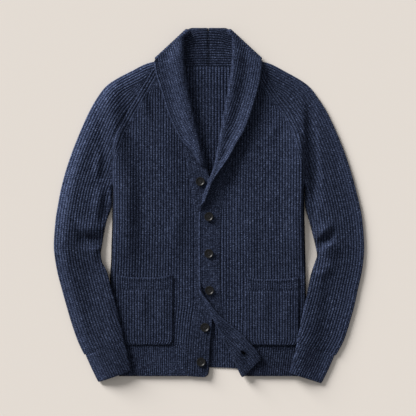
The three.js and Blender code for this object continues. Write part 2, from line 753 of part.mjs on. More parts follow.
// Collar and band of one side in one strip, from the centre back seam to the hem
function strip(front, rows) {
  const shape = [];
  for (const row of BACK_COLLAR) {
    shape.push({ ...backRow(front, row), standRib: 'wrong', fallRib: 'none' });
  }
  for (const turn of CORNER_TURNS) {
    shape.push({ ...cornerRow(front, turn), standRib: 'none', fallRib: turn.turn > 0 ? 'wrong' : 'none' });
  }
  rows.forEach((row, j) => {
    const before = rows[Math.max(j - 1, 0)];
    const after = rows[Math.min(j + 1, rows.length - 1)];
    const shown = row.y < 110 ? 'right' : 'none';
    const fallRib = row.turn > 90 ? 'wrong' : 'right';
    shape.push({ ...stripRow(front, row, before, after), standRib: shown, fallRib });
  });
  const rib = COLLAR_RIB;
  const half = rib.pitch / 2;
  const standSteps = Math.ceil(Math.max(...shape.map((row) => row.standLength)) / half);
  const fallSteps = Math.ceil(Math.max(...shape.map((row) => row.fallLength)) / half);
  const plan = [];
  for (let k = 0; k <= standSteps; k += 1) plan.push({ kind: 'stand', step: k, last: standSteps });
  for (const part of [0.25, 0.5, 0.75]) plan.push({ kind: 'roll', part });
  for (let k = fallSteps; k >= 0; k -= 1) plan.push({ kind: 'fall', step: k, last: fallSteps });
  return wall(plan.length, shape.length, (i, j) => {
    const column = plan[i];
    const row = shape[j];
    const face = (side) => {
      if (column.kind === 'roll') return offset(row.roll(column.part), side * (WALL / 2));
      const ribbed = row[`${column.kind}Rib`];
      const shows = ribbed === (side > 0 ? 'wrong' : 'right');
      const length = row[`${column.kind}Length`];
      const coarse = 4 * Math.floor(column.step / 4);
      const step = shows || column.step === column.last ? column.step : coarse;
      const distance = Math.min(step * half, length);
      const relief = shows ? ribRelief(step, -rib.pitch, length, distance, rib) : 0;
      return offset(row[column.kind](distance), side * (WALL / 2 + relief));
    };
    return { outer: face(1), inner: face(-1) };
  });
}

function offset({ at, facing }, distance) {
  return at.map((value, axis) => value + facing[axis] * distance);
}

// A pocket patch or its welt, laid on the front's ribs
function patch(front, xAt, yAt, halves, rows, rib) {
  return wall(halves + 1, rows, (i, j) => {
    const coarse = i === halves ? halves : 6 * Math.floor(i / 6);
    const point = (step, rise) => {
      const x = xAt(step / halves, j / (rows - 1));
      const y = yAt(step / halves, j / (rows - 1));
      const folds = foldHeight(FRONT_FOLDS, x, y);
      return [x, y, front.level(x, y) + folds + NEXT_LAYER + rise];
    };
    const room = Math.min(i, halves - i) > 0 && i % 2 === 1;
    return { outer: point(i, WALL / 2 + (room ? rib.height : 0)), inner: point(coarse, -WALL / 2) };
  });
}

function pocketBody(front, pocket) {
  const width = Math.abs(pocket.outer - pocket.inner);
  const middle = (pocket.outer + pocket.inner) / 2;
  const height = pocket.weltEnd - SEAM_GAP - pocket.bottom;
  const levels = [0, 0.45, 1 - POCKET_CORNER / height, 1 - 0.3 * (POCKET_CORNER / height), 1];
  const level = (v) => levels[Math.round(v * (levels.length - 1))];
  const cut = (v) => {
    const into = Math.max(level(v) - levels[2], 0) * height;
    return POCKET_CORNER - Math.sqrt(Math.max(POCKET_CORNER ** 2 - into ** 2, 0));
  };
  const xAt = (u, v) => middle + (u - 0.5) * (width - 1.4 * cut(v)) * front.sign;
  const yAt = (u, v) => mix(pocket.weltEnd - SEAM_GAP, pocket.bottom, level(v));
  const halves = 2 * Math.round(width / BODY_RIB.pitch);
  return patch(front, xAt, yAt, halves, levels.length, BODY_RIB);
}

function pocketWelt(front, pocket) {
  const width = Math.abs(pocket.outer - pocket.inner);
  const xAt = (u) => (pocket.outer + pocket.inner) / 2 + (u - 0.5) * width * front.sign;
  const topAt = (u) => pocket.top + pocket.lift * Math.abs(2 * u - 1) ** 3;
  const yAt = (u, v) => mix(topAt(u), pocket.weltEnd, v);
  const halves = 2 * Math.round(width / FINE_RIB.pitch);
  return patch(front, xAt, yAt, halves, 3, FINE_RIB);
}

function button(row) {
  const seat = FRONT_MID + WALL / 2 + COLLAR_RIB.height + row.layer * NEXT_LAYER + SEAM_GAP;
  const { radius, height, rim, dish, sides } = BUTTON;
  const profile = [
    [0, 0],
    [radius, 0],
    [radius, height - 0.8],
    [radius - 0.9, height],
    [radius - rim, height - dish],
    [0, height - dish],
  ].map(([x, y]) => new THREE.Vector2(x, y));
  const geometry = new THREE.LatheGeometry(profile, sides);
  geometry.rotateX(Math.PI / 2);
  geometry.translate(row.x, row.y, seat);
  return geometry;
}

// Cuts the buttonhole through the turned-back corner only
function cutButtonhole(geometry) {
  const { x, y, length, width, angle } = BUTTONHOLE;
  const outline = new THREE.Shape();
  outline.absellipse(0, 0, length / 2, width / 2, 0, 2 * Math.PI);
  const prism = new THREE.ExtrudeGeometry(outline, { depth: 30, bevelEnabled: false, curveSegments: 8 });
  prism.rotateZ(angle);
  prism.translate(x, y, FRONT_MID + WALL / 2 + BODY_RIB.height + LAYER_GAP / 2);
  const cut = solid(geometry).subtract(solid(prism));
  const mesh = cut.getMesh();
  const result = new THREE.BufferGeometry();
  result.setAttribute('position', new THREE.BufferAttribute(mesh.vertProperties, 3));
  result.setIndex(new THREE.BufferAttribute(mesh.triVerts, 1));
  return result;
}

function solid(geometry) {
  const at = geometry.attributes.position;
  const numbers = new Map();
  const vertices = [];
  const corners = geometry.index ? Array.from(geometry.index.array) : [...Array(at.count).keys()];
  const triVerts = corners.map((corner) => {
    const point = [at.getX(corner), at.getY(corner), at.getZ(corner)];
    const key = point.map((value) => value.toFixed(4)).join(' ');
    if (!numbers.has(key)) {
      numbers.set(key, vertices.length / 3);
      vertices.push(...point);
    }
    return numbers.get(key);
  });
  return new wasm.Manifold(new wasm.Mesh({
    numProp: 3,
    vertProperties: Float32Array.from(vertices),
    triVerts: Uint32Array.from(triVerts),
  }));
}

// Finishes and assembly
const NAVY = 0x242a3a;
const BLACK = 0x17171a;
const cardigan = new THREE.Group();

function add(name, geometry, color = NAVY, roughness = 0.95) {
  const mesh = new THREE.Mesh(geometry, new THREE.MeshStandardMaterial({ color, roughness, metalness: 0 }));
  mesh.name = name;
  cardigan.add(mesh);
}

const seamRows = (seams, from, to) => seams.map((row) => row.y).filter((y) => y <= from && y >= to);
const weltRows = [WELT_TOP_Y - SEAM_GAP, -348, HEM_Y];
const backRows = [...seamRows(RIGHT_SEAMS, NECK_SEAM_Y, CURLED_Y), -14.5, -120, -205, BACK_WELT_TOP_Y];
const backWeltRows = [BACK_WELT_TOP_Y - SEAM_GAP, BACK_HEM_Y];
const neckShows = (y) => 0.175 * (y - 60);

add('back_panel', backPanel(backRows, BODY_RIB, 56, neckShows));
add('back_welt', backPanel(backWeltRows, FINE_RIB, 44, () => 44));
for (const [name, front] of Object.entries(fronts)) {
  const panelRows = seamRows(front.seams, NECK_SEAM_Y, WELT_TOP_Y);
  add(`front_${name}`, frontPanel(front, panelRows, BODY_RIB, 6));
  add(`front_welt_${name}`, frontPanel(front, weltRows, FINE_RIB, 0));
}
add('sleeve_right', sleeve(fronts.right, RIGHT_SLEEVE, BODY_RIB, ELBOW_FOLDS.right, true));
add('sleeve_left', sleeve(fronts.left, LEFT_SLEEVE, BODY_RIB, ELBOW_FOLDS.left, true));
add('cuff_right', sleeve(fronts.right, RIGHT_CUFF, FINE_RIB, [], false));
add('cuff_left', sleeve(fronts.left, LEFT_CUFF, FINE_RIB, [], false));
add('collar_band_right', strip(fronts.right, RIGHT_STRIP));
add('collar_band_left', cutButtonhole(strip(fronts.left, LEFT_STRIP)));
for (const [name, front] of Object.entries(fronts)) {
  add(`pocket_${name}`, pocketBody(front, POCKETS[name]));
  add(`pocket_welt_${name}`, pocketWelt(front, POCKETS[name]));
}
BUTTONS.forEach((row, k) => add(`button_${k + 1}`, button(row), BLACK, 0.35));

export default cardigan;
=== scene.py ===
import math
from collections import namedtuple

import bpy
import numpy as np
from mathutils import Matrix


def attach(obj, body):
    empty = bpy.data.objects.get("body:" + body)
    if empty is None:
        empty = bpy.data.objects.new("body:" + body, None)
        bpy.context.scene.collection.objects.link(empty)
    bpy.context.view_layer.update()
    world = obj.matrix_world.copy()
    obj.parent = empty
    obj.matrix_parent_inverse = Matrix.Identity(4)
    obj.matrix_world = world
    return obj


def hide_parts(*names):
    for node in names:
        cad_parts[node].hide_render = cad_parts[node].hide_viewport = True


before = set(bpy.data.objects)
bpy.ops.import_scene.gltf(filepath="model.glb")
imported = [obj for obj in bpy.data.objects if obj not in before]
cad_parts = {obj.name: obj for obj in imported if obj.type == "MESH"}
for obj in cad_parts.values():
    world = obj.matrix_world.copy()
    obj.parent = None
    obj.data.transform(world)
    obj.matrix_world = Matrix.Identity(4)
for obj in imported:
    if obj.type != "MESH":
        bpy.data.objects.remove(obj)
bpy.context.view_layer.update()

bl_info = {
    "name": "Shawl Collar Cardigan",
    "version": (1, 0, 0),
    "blender": (4, 5, 0),
    "location": "View3D > Sidebar > Cardigan",
    "description": "Dresses a laid flat rib knit cardigan: panels, sleeves, collar, pockets and buttons",
    "category": "Object",
}

# Sizes in millimetres; X to the wearer's left, Y from hem to collar, Z up from the surface
MM = 0.001
WALL = 3.0
HALF = WALL / 2
SEAM_GAP = 0.3
BACK_MID = HALF
FRONT_MID = 4.4 + HALF
BODY_RIB_HEIGHT = 1.1
LAYER_GAP = 0.35
NEXT_LAYER = WALL + BODY_RIB_HEIGHT + LAYER_GAP
FOLD_RADIUS = (FRONT_MID - BACK_MID) / 2
FOLD_MID = (FRONT_MID + BACK_MID) / 2
CENTRE = -1.5
NECK_SEAM_Y = 313.0
COLLAR_TOP_Y = 399.5
UNDERARM_Y = 53.0
CURLED_Y = 35.0
WELT_TOP_Y = -314.0
HEM_Y = -384.0
BACK_WELT_TOP_Y = -293.0
BACK_HEM_Y = -365.0
BACK_HEM_DROP = 20.0
NECK_LIFT = WALL + 0.6
LIFT_FROM_Y = 239.5
LIFT_FULL_Y = 308.0
RAGLAN_BORDER = 22.0
EDGE_WIDTH = 9.0
RISE_LENGTH = 48.0
POCKET_CORNER = 16.0
RIB_ROUNDNESS = 0.7
GROOVE_DEPTH = 0.55

# How soft the cloth stands: puff at its rolls, loft of its panels, and room to sink to the layer below
PUFF_LENGTH = 38.0
SLEEVE_PUFF = 9.0
FRONT_LOFT = 6.0
FLAP_LOFT = 6.0
OPEN_ROLL_RADIUS = 3.0
RIM_HEIGHT = 1.3
RIM_PLACE = 4
RIM_WIDTH = 2.6
SINK_ROOM = 1.0

# Painted light and shade: how much lighter or darker the yarn is drawn on each part, where 1 is its own
# colour
WELT_PAINTED_SHADE = 0.88
CUFF_PAINTED_SHADE = 0.95
POCKET_PAINTED_SHADE = 0.9
BACK_PAINTED_LIGHT = 1.1
BAND_PAINTED_SHADE = 0.96
SEAM_PAINTED_SHADE = 0.4

# What differs between the halves: rolls and lofts in millimetres, then tones and their changes, which are
# painted light and shade on welt, outer fold, sleeve, band and lapel
Look = namedtuple(
    "Look",
    "roll_puff puff_length lapel_loft rim low_fall "
    "welt fold_gain sleeve_top sleeve_drop band_drop lapel_gain",
)
RIGHT_LOOK = Look(
    roll_puff=13.0,
    puff_length=PUFF_LENGTH + 10,
    lapel_loft=1.0,
    rim=RIM_HEIGHT * 1.5,
    low_fall=0.0,
    welt=WELT_PAINTED_SHADE,
    fold_gain=0.4,
    sleeve_top=1.19,
    sleeve_drop=0.37,
    band_drop=0.38,
    lapel_gain=0.12,
)
LEFT_LOOK = Look(
    roll_puff=9.0,
    puff_length=PUFF_LENGTH,
    lapel_loft=16.0,
    rim=RIM_HEIGHT,
    low_fall=0.5,
    welt=0.66,
    fold_gain=0.05,
    sleeve_top=1.0,
    sleeve_drop=0.02,
    band_drop=0.22,
    lapel_gain=0.06,
)

# Light from the upper left: direction it comes from, width in degrees, strengths
KEY_DIRECTION = (-0.66, 0.67, 0.345)
KEY_WIDTH = 28.0
KEY_STRENGTH = 6.0
SKY_STRENGTH = 0.31

# How finely a wall is drawn
COLUMNS_A_RIB = 6
ROW_SPACING = 5.0
EDGE_STEPS = 6
SLEEVE_EDGE_STEPS = 5
UNDER_STEPS = 26
FOLD_STEPS = 6
ROLL_STEPS = 14
ROLL_RUN = 16

# Stitches to a rib's pitch and how dark the painted shade in its grooves is, for each kind of rib
STITCHES = {"body": 1.5, "back": 1.6, "collar": 1.35, "fine": 1.3}
GROOVE_PAINTED_SHADE = {"body": 0.9, "back": 0.9, "collar": 0.85, "fine": 0.8}

# Seams of the wearer's right and left half, row by row: raglan or side edge, neck or band seam
SEAM_COLUMNS = "y side neck"
RIGHT_SEAMS = [
    [NECK_SEAM_Y, -111.5, -107],
    [308, -125.5, -106],
    [287, -139.5, -100.5],
    [239.5, -167.5, -88],
    [211.5, -184.5, -80],
    [185.5, -198, -72.5],
    [160, -210.5, -65],
    [134, -218, -58.5],
    [93.5, -218, -50.5],
    [UNDERARM_Y, -218, -44],
    [CURLED_Y, -218, -40.5],
    [-14.5, -218, -34],
    [-118, -220.5, -34],
    [-167.5, -223, -34],
    [-212.5, -222, -34],
    [-262, -218, -40.5],
    [WELT_TOP_Y, -215, -45.5],
    [HEM_Y, -202.5, -49],
]
LEFT_SEAMS = [
    [NECK_SEAM_Y, 108.5, 104],
    [308, 121, 103],
    [287, 132, 97.5],
    [239.5, 163, 85],
    [211.5, 184.5, 77],
    [185.5, 198.5, 70],
    [160, 210.5, 62.5],
    [134, 215.5, 57.5],
    [93.5, 215.5, 51],
    [UNDERARM_Y, 215.5, 41.5],
    [CURLED_Y, 215.5, 37],
    [-14.5, 215, 29],
    [-66.5, 216, 27],
    [-167.5, 218, 26],
    [-212.5, 218, 28.5],
    [-262, 215, 36],
    [WELT_TOP_Y, 210.5, 52.5],
    [HEM_Y, 199.5, 83.5],
]

# Sleeve stations from neck to cuff: outer fold, and inner edge or raglan seam
STATION_COLUMNS = "outer_x outer_y inner_x inner_y"
RIGHT_SLEEVE = [
    [-120.5, 324, -111.5, NECK_SEAM_Y],
    [-139.5, 319, -125.5, 308],
    [-169, 305, -139.5, 287],
    [-228.5, 270.5, -167.5, 239.5],
    [-252, 241, -184.5, 211.5],
    [-267.5, 214, -198, 185.5],
    [-281, 185.5, -210.5, 160],
    [-293, 157.5, -218, 134],
    [-310, 114, -218, 93.5],
    [-325, 67.5, -218, UNDERARM_Y],
    [-333.5, 34, -218.4, 30.5],
    [-340, -1, -218.8, 1],
    [-345, -32.5, -231, -36],
    [-349, -93.5, -241, -91],
    [-346.5, -118, -243.5, -108],
    [-341, -149.5, -241, -125],
    [-332, -184.5, -229, -147.5],
    [-321, -224, -219.5, -184.5],
    [-308.5, -266.5, -207, -228.5],
    [-294.5, -306, -197.5, -268],
    [-280.5, -336, -189.5, -302],
]
LEFT_SLEEVE = [
    [117, 324, 108.5, NECK_SEAM_Y],
    [136, 319, 121, 308],
    [166.5, 304, 132, 287],
    [223, 269.5, 163, 239.5],
    [245, 242, 184.5, 211.5],
    [263, 214, 198.5, 185.5],
    [277, 185.5, 210.5, 160],
    [290, 156.5, 215.5, 134],
    [307, 113, 215.5, 93.5],
    [322, 66.5, 215.5, UNDERARM_Y],
    [331, 32.5, 215.9, 30.5],
    [339.5, -2, 216.2, 1],
    [345, -34, 225, -32.5],
    [349, -93.5, 239.5, -91],
    [347.5, -120.5, 243, -111.5],
    [343, -152, 237.5, -129.5],
    [335, -188, 228.5, -155],
    [327, -225, 221, -191],
    [316, -264.5, 212, -234],
    [303, -304, 202.5, -277],
    [285, -338, 196.5, -308],
]
RIGHT_CUFF = [
    [-278.1, -335.4, -189.9, -302.5],
    [-263, -369, -181, -338.5],
    [-249, -397.5, -173.5, -371],
]
LEFT_CUFF = [
    [282.5, -337.5, 196.9, -308.4],
    [268, -370, 189, -344],
    [253, -400.5, 180, -376],
]
RISE_COLUMNS = "y height"
SLEEVE_RISE = [
    [-60, 0],
    [-118, 9],
    [-145, 13.5],
    [-340, 13.5],
    [-358, 9],
    [-420, 9],
]

# Collar and band strips: seam height, roll or free edge, the fall's edge, and the turn in degrees
STRIP_COLUMNS = "y roll_x roll_y edge_x edge_y turn"
RIGHT_STRIP = [
    [NECK_SEAM_Y, -55.5, 377, -123.5, 324, 180],
    [308, -56, 363.5, -123.5, 317, 180],
    [287, -56, 336.5, -121, 300.5, 180],
    [239.5, -50.5, 289, -106.5, 253, 180],
    [211.5, -45.5, 260, -98, 224, 180],
    [185.5, -39.5, 229.5, -89, 198, 180],
    [160, -32.5, 198, -76.5, 171, 180],
    [134, -25, 164, -62, 145, 180],
    [107, -16, 129.5, -39, 119, 180],
    [80, -7, 95.5, -16.5, 88.5, 180],
    [74, -4.3, 87, 0, 0, 110],
    [69, -2.2, 80.5, 0, 0, 40],
    [64, 0.2, 73.5, 0, 0, 0],
    [UNDERARM_Y, 4, 59.5, 0, 0, 0],
    [CURLED_Y, 6.5, 37, 0, 0, 0],
    [12.5, 9.5, 13.5, 0, 0, 0],
    [-14.5, 11.5, -14.5, 0, 0, 0],
    [-118, 12.5, -118, 0, 0, 0],
    [-212.5, 12, -212.5, 0, 0, 0],
    [-262, 9, -262, 0, 0, 0],
    [WELT_TOP_Y, 4, -315, 0, 0, 0],
    [-370, 0.5, -371, 0, 0, 0],
    [-380, -2.2, -381.5, 0, 0, 0],
    [HEM_Y, -8, -386, 0, 0, 0],
]
LEFT_STRIP = [
    [NECK_SEAM_Y, 51.5, 377, 119.5, 324, 180],
    [308, 51.5, 363.5, 119.5, 317, 180],
    [287, 51.5, 336.5, 118, 300.5, 180],
    [239.5, 47, 289, 108.5, 253, 180],
    [211.5, 42.5, 260, 100, 224, 180],
    [185.5, 36.5, 228.5, 91.5, 197, 180],
    [160, 30.5, 197, 79.5, 166.5, 180],
    [134, 25, 163, 64, 140.5, 180],
    [107, 18.5, 128, 45, 106, 180],
    [80, 11, 91, 26, 80, 180],
    [UNDERARM_Y, -0.5, 57.5, 9.5, 53.5, 180],
    [CURLED_Y, -8.5, 37, 1, 35, 180],
    [12.5, -16, 11, 0, 0, 130],
    [0, -20, -1, 0, 0, 60],
    [-14.5, -23.5, -14.5, 0, 0, 0],
    [-66.5, -24.5, -66.5, 0, 0, 0],
    [-167.5, -24, -167.5, 0, 0, 0],
    [-180, -24, -181, 0, 0, 45],
    [-190, -22.5, -192, 0, 0, 110],
    [-212.5, -10.5, -216, -1.5, -213, 180],
    [-237.5, 2, -241, 17, -238, 180],
    [-262, 14.5, -266.5, 35.5, -256.5, 180],
    [-289, 27, -291.5, 61, -277, 180],
    [WELT_TOP_Y, 39.5, -317, 80, -293.5, 180],
    [-336.5, 50.5, -338.5, 94.5, -310.5, 180],
    [-361, 62.5, -363, 107.5, -325, 180],
    [HEM_Y, 73.5, -386, 119, -342, 180],
]

# The collar's corner and its back, both from the centre back
CORNER_ROLL = (46.5, 390.5)
CORNER_NECK = (107.5, 324.0)
CORNER_LOW_EDGE = (112.0, 325.0)
CORNER_TOP_EDGE = (119.0, 326.5)
CORNER_OUT = (0.69, 0.724)
CORNER_TURNS = (-90, -67, -45, -22, 0, 22, 45, 67, 90)
BULGE_TURNS = (-90, -45, 0, 45, 90)
BULGE_X = (0.3, -0.35, -0.69, -0.97, -0.67)
BULGE_Y = (0.95, 0.94, 0.72, -0.05, -0.74)
CORNER_PUFF = 5.0
BACK_COLLAR_COLUMNS = "roll_x neck_x edge_x edge_y puff"
BACK_COLLAR = [
    [0, 0, 0, 307.5, 5],
    [23, 41, 46, 308.5, 5],
    [37, 82, 88, 313, 3.5],
]

# Pockets, buttons and buttonhole
POCKET_COLUMNS = "inner outer top lift welt_end bottom"
RIGHT_POCKET = [-81, -209.5, -162, 9, -189, -313]
LEFT_POCKET = [79.5, 202, -166, 7, -191, -314]
BUTTON_COLUMNS = "x y layer turn"
BUTTONS = [
    [-19.8, 54, 0, 20],
    [-0.5, -25, 1, 50],
    [-0.5, -108, 1, 5],
    [1, -190.5, 1, 35],
    [-9, -274, 0, 65],
    [-18, -352, 0, 15],
]
BUTTONHOLE = {"x": 77.0, "y": -330.5, "length": 13.0, "width": 5.4, "angle": -42.0}

# Soft folds: middle, direction in degrees, half length and width, height, and the far side's widening
FOLD_COLUMNS = "x y angle length width height far"
RIGHT_FOLDS = [
    [-212, 175, -81, 130, 36, 16, 1],
    [-186, -10, -88, 180, 46, 14, 0.8],
    [-147, 235, -74, 66, 17, 6, 1],
    [-75, -60, -96, 80, 20, 2, 1],
    [-150, -235, -90, 70, 20, 3, 1],
    [-105, -235, -90, 70, 18, 2, 1],
    [-250, 4, -98, 58, 18, 6, 0.8],
    [-233, -4, -100, 50, 10, -7, 1],
    [-250, 92, -96, 46, 14, 5, 0.8],
    [-272, -54, -14, 50, 20, 11, 1.5],
    [-262, -80, -8, 44, 14, -10, 1],
    [-292, -58, -60, 36, 13, -6, 1],
    [-260, -100, 182, 42, 12, 6, 3],
    [-262, -132, -40, 44, 16, 4, 1],
    [-296, 120, -68, 80, 20, 1.5, 1],
]
LEFT_FOLDS = [
    [210, 105, 93, 165, 24, 12, 2.2],
    [200, -60, 93, 90, 20, 5, 1.6],
    [231, 105, -86, 150, 14, -13, 1.6],
    [95, -70, -88, 95, 20, 2.5, 1],
    [150, 175, 62, 60, 18, 2.5, 1],
    [125, -230, -92, 80, 20, 3, 1],
    [175, -230, -90, 80, 18, 2, 1],
    [253, -60, 38, 44, 16, 7, 1],
    [258, -78, 38, 44, 13, -10, 1],
    [268, -95, 216, 46, 12, 7, 3],
    [262, -145, 44, 46, 20, 4, 1],
    [250, 170, -60, 80, 20, 2.5, 1],
]

Rib = namedtuple("Rib", "pitch height")
Edge = namedtuple("Edge", "reach drop lean rise")
Place = namedtuple("Place", "at facing")


def table(columns, rows):
    """Rows of numbers as named tuples."""
    Row = namedtuple("Row", columns)
    return [Row(*row) for row in rows]


def smooth(start, end, value):
    """A soft step from 0 at start to 1 at end."""
    t = np.clip((value - start) / (end - start), 0, 1)
    return t * t * (3 - 2 * t)


def along(rows, y, name):
    """A named column of rows that run downwards, read at a height."""
    heights = [-row.y for row in rows]
    return np.interp(-np.asarray(y, float), heights, [getattr(row, name) for row in rows])


def neck_lift(x, y):
    """What lies over the back of the collar's fall is lifted by it."""
    up = np.clip((y - LIFT_FROM_Y) / (LIFT_FULL_Y - LIFT_FROM_Y), 0, 1)
    out = np.clip((np.abs(x - CENTRE) - 119) / 51, 0, 1)
    return NECK_LIFT * up * (1 - out)


def band_rise(x, y):
    """The left front's edge lies on the right band and comes down beside it."""
    across = 1 - smooth(13, 60, x)
    down = 1 - smooth(62, 125, y)
    return NEXT_LAYER * across * down * smooth(-330, -264, y)


def fold_height(folds, x, y):
    """How much the soft folds raise a point."""
    height = np.zeros(np.shape(x))
    for fold in folds:
        angle = math.radians(fold.angle)
        dx, dy = x - fold.x, y - fold.y
        run = (dx * math.cos(angle) + dy * math.sin(angle)) / fold.length
        across = (-dx * math.sin(angle) + dy * math.cos(angle)) / fold.width
        across = np.where(across > 0, across / fold.far, across)
        height = height + fold.height * (1 - smooth(0, 1, abs(run))) * (1 - smooth(0, 1, abs(across)))
    return height


class Half:
    """One half of the garment: its side of the body, its seams and its level."""

    def __init__(self, sign, seams, folds, rise, rib_end, look):
        self.sign = sign
        self.look = look
        self.seams = table(SEAM_COLUMNS, seams)
        self.folds = table(FOLD_COLUMNS, folds)
        self.rise = rise
        self.rib_end = rib_end

    def level(self, x, y):
        """Height of the front's middle."""
        over = band_rise(x, y) if self.rise else 0
        return FRONT_MID + neck_lift(x, y) + over

    def side(self, y):
        return along(self.seams, y, "side")

    def neck(self, y):
        return along(self.seams, y, "neck")

    def heights(self, top, bottom):
        """Rows of the seam table between two heights."""
        return [row.y for row in self.seams if bottom <= row.y <= top]

    def swell(self, x, y):
        """How far the front stands proud between its side and its band, and on its soft folds."""
        y = np.asarray(y, float)
        from_side = self.sign * (self.side(y) - x)
        from_band = self.sign * (x - self.neck(y))
        loft = smooth(1, 9, from_side) * smooth(0, 45, from_band)
        loft = loft * smooth(-165, -70, y) * (1 - smooth(130, 220, y))
        held = 1 - curl_at(y) * (1 - smooth(0, 9, from_side))
        folds = self.soft_folds(x, y) * held * smooth(0, 20, from_band)
        return np.maximum(FRONT_LOFT * loft + folds, -SINK_ROOM)

    def soft_folds(self, x, y):
        """How far the half's soft folds raise a point."""
        return fold_height(self.folds, x, y)


def right_rib_end(y):
    """Where the right front's ribs stop at its band."""
    rows = table(SEAM_COLUMNS, RIGHT_SEAMS)
    return float(along(rows, min(y, -14.5), "neck"))


def curl_at(y):
    """Side edges roll together below the underarm, from 0 to 1."""
    return 1 - smooth(CURLED_Y, UNDERARM_Y, y)


RIGHT = Half(-1, RIGHT_SEAMS, RIGHT_FOLDS, False, right_rib_end, RIGHT_LOOK)
LEFT = Half(1, LEFT_SEAMS, LEFT_FOLDS, True, lambda y: 27.0, LEFT_LOOK)


def rib_relief(u, start, end, position, rib):
    """Round rib at u pitches from its run's start, with a groove on each side, dying out at the ends."""
    room = np.minimum(position - start, end - position) / (rib.pitch / 2)
    crest = np.abs(np.sin(np.pi * u)) ** RIB_ROUNDNESS
    return (rib.height * crest - GROOVE_DEPTH * rib.height * (1 - crest)) * np.clip(room, 0, 1)


def worn_edge(distance, depth=0.5, width=2.2):
    """A wall is thinner and rounder at its edges and seams."""
    return 1 - depth * np.exp(-((distance / width) ** 2))


def curled_edge(curl, part):
    """An edge that rolls towards its partner; part runs from 0 at the seam to 1."""
    end = curl * (np.pi / 2 - SEAM_GAP / 2 / FOLD_RADIUS)
    angle = end * (1 - np.asarray(part, float))
    reach = HALF * np.sin(end) + FOLD_RADIUS * (np.sin(end) - np.sin(angle))
    return Edge(reach, FOLD_RADIUS * (1 - np.cos(angle)), np.sin(angle), np.cos(angle))


class Wall:
    """A knitted wall's two faces as grids of points, with rib and stitch coordinates.

    Strength holds the grooves' depth, which also sets their painted shade, and the yarn's tone of painted
    light and shade, held how far a point follows the soft folds, and room how far it may sink.
    """

    def __init__(self, outer, inner, across, pitch, strength=None):
        self.outer = np.array(outer, float)
        self.inner = np.array(inner, float)
        self.across = np.array(across, float)
        shape = self.across.shape
        self.strength = np.ones((*shape, 2)) if strength is None else np.array(strength, float)
        self.held = np.ones(shape)
        self.room = np.full(shape, SINK_ROOM)
        self.pitch = pitch
        self.down = None

    def refine(self, spacing=ROW_SPACING):
        """Draws smooth curves down the columns through the section rows."""
        steps = np.linalg.norm(np.diff(self.outer, axis=0), axis=2).mean(axis=1)
        knots = np.concatenate([[0], np.cumsum(steps)])
        fine = [knots[:1]]
        for low, high in zip(knots[:-1], knots[1:]):
            count = max(1, round((high - low) / spacing))
            fine.append(np.linspace(low, high, count + 1)[1:])
        fine = np.concatenate(fine)
        self.outer = curve_through(knots, self.outer, fine)
        self.inner = curve_through(knots, self.inner, fine)
        self.across = curve_through(knots, self.across[:, :, None], fine)[:, :, 0]
        self.strength = curve_through(knots, self.strength, fine)
        self.held = curve_through(knots, self.held[:, :, None], fine)[:, :, 0]
        self.room = curve_through(knots, self.room[:, :, None], fine)[:, :, 0]
        self.down = np.repeat((fine / self.pitch)[:, None], self.across.shape[1], axis=1)
        return self

    def raise_by(self, height):
        """Lifts both faces by a function of place, as far as the wall is free to rise or sink."""
        for face in (self.outer, self.inner):
            lift = height(face[:, :, 0], face[:, :, 1]) * self.held
            face[:, :, 2] += np.maximum(lift, -self.room)
        return self

    def shade(self, tone):
        """Paints light or shade into the yarn: makes it lighter or darker."""
        self.strength[:, :, 1] *= tone
        return self

    def soften_ends(self, depth=0.5, width=2.2):
        """Thins the wall at its first and last row."""
        middle = (self.outer + self.inner) / 2
        run = self.down[:, :1] * self.pitch
        near = np.minimum(run, run[-1] - run)
        share = worn_edge(near, depth, width)[:, :, None]
        self.outer = middle + (self.outer - middle) * share
        return self


def curve_through(knots, values, fine):
    """Monotone cubic curves through rows of values, read at finer places."""
    step = np.diff(knots)[:, None, None]
    slope = np.diff(values, axis=0) / step
    tangent = np.zeros(values.shape)
    tangent[0], tangent[-1] = slope[0], slope[-1]
    before, after = slope[:-1], slope[1:]
    total = before + after
    same = before * after > 0
    tangent[1:-1] = np.where(same, 2 * before * after / np.where(same, total, 1), 0)
    place = np.clip(np.searchsorted(knots, fine, side="right") - 1, 0, len(knots) - 2)
    width = np.diff(knots)[place]
    t = ((fine - knots[place]) / width)[:, None, None]
    width = width[:, None, None]
    low, high = values[place], values[place + 1]
    first = (1 + 2 * t) * (1 - t) ** 2 * low + t * (1 - t) ** 2 * width * tangent[place]
    second = t * t * (3 - 2 * t) * high + t * t * (t - 1) * width * tangent[place + 1]
    return first + second


def front_panel(half, heights, rib, border):
    """A front or its welt: ribs run up it, and the raglan keeps a border of ribs."""
    full = abs(half.side(-14.5) - half.rib_end(-14.5))
    halves = 2 * round(full / rib.pitch)
    sections = [front_section(half, y, rib, border, full, halves) for y in heights]
    outer, inner, across = zip(*sections)
    return Wall(outer, inner, across, rib.pitch)


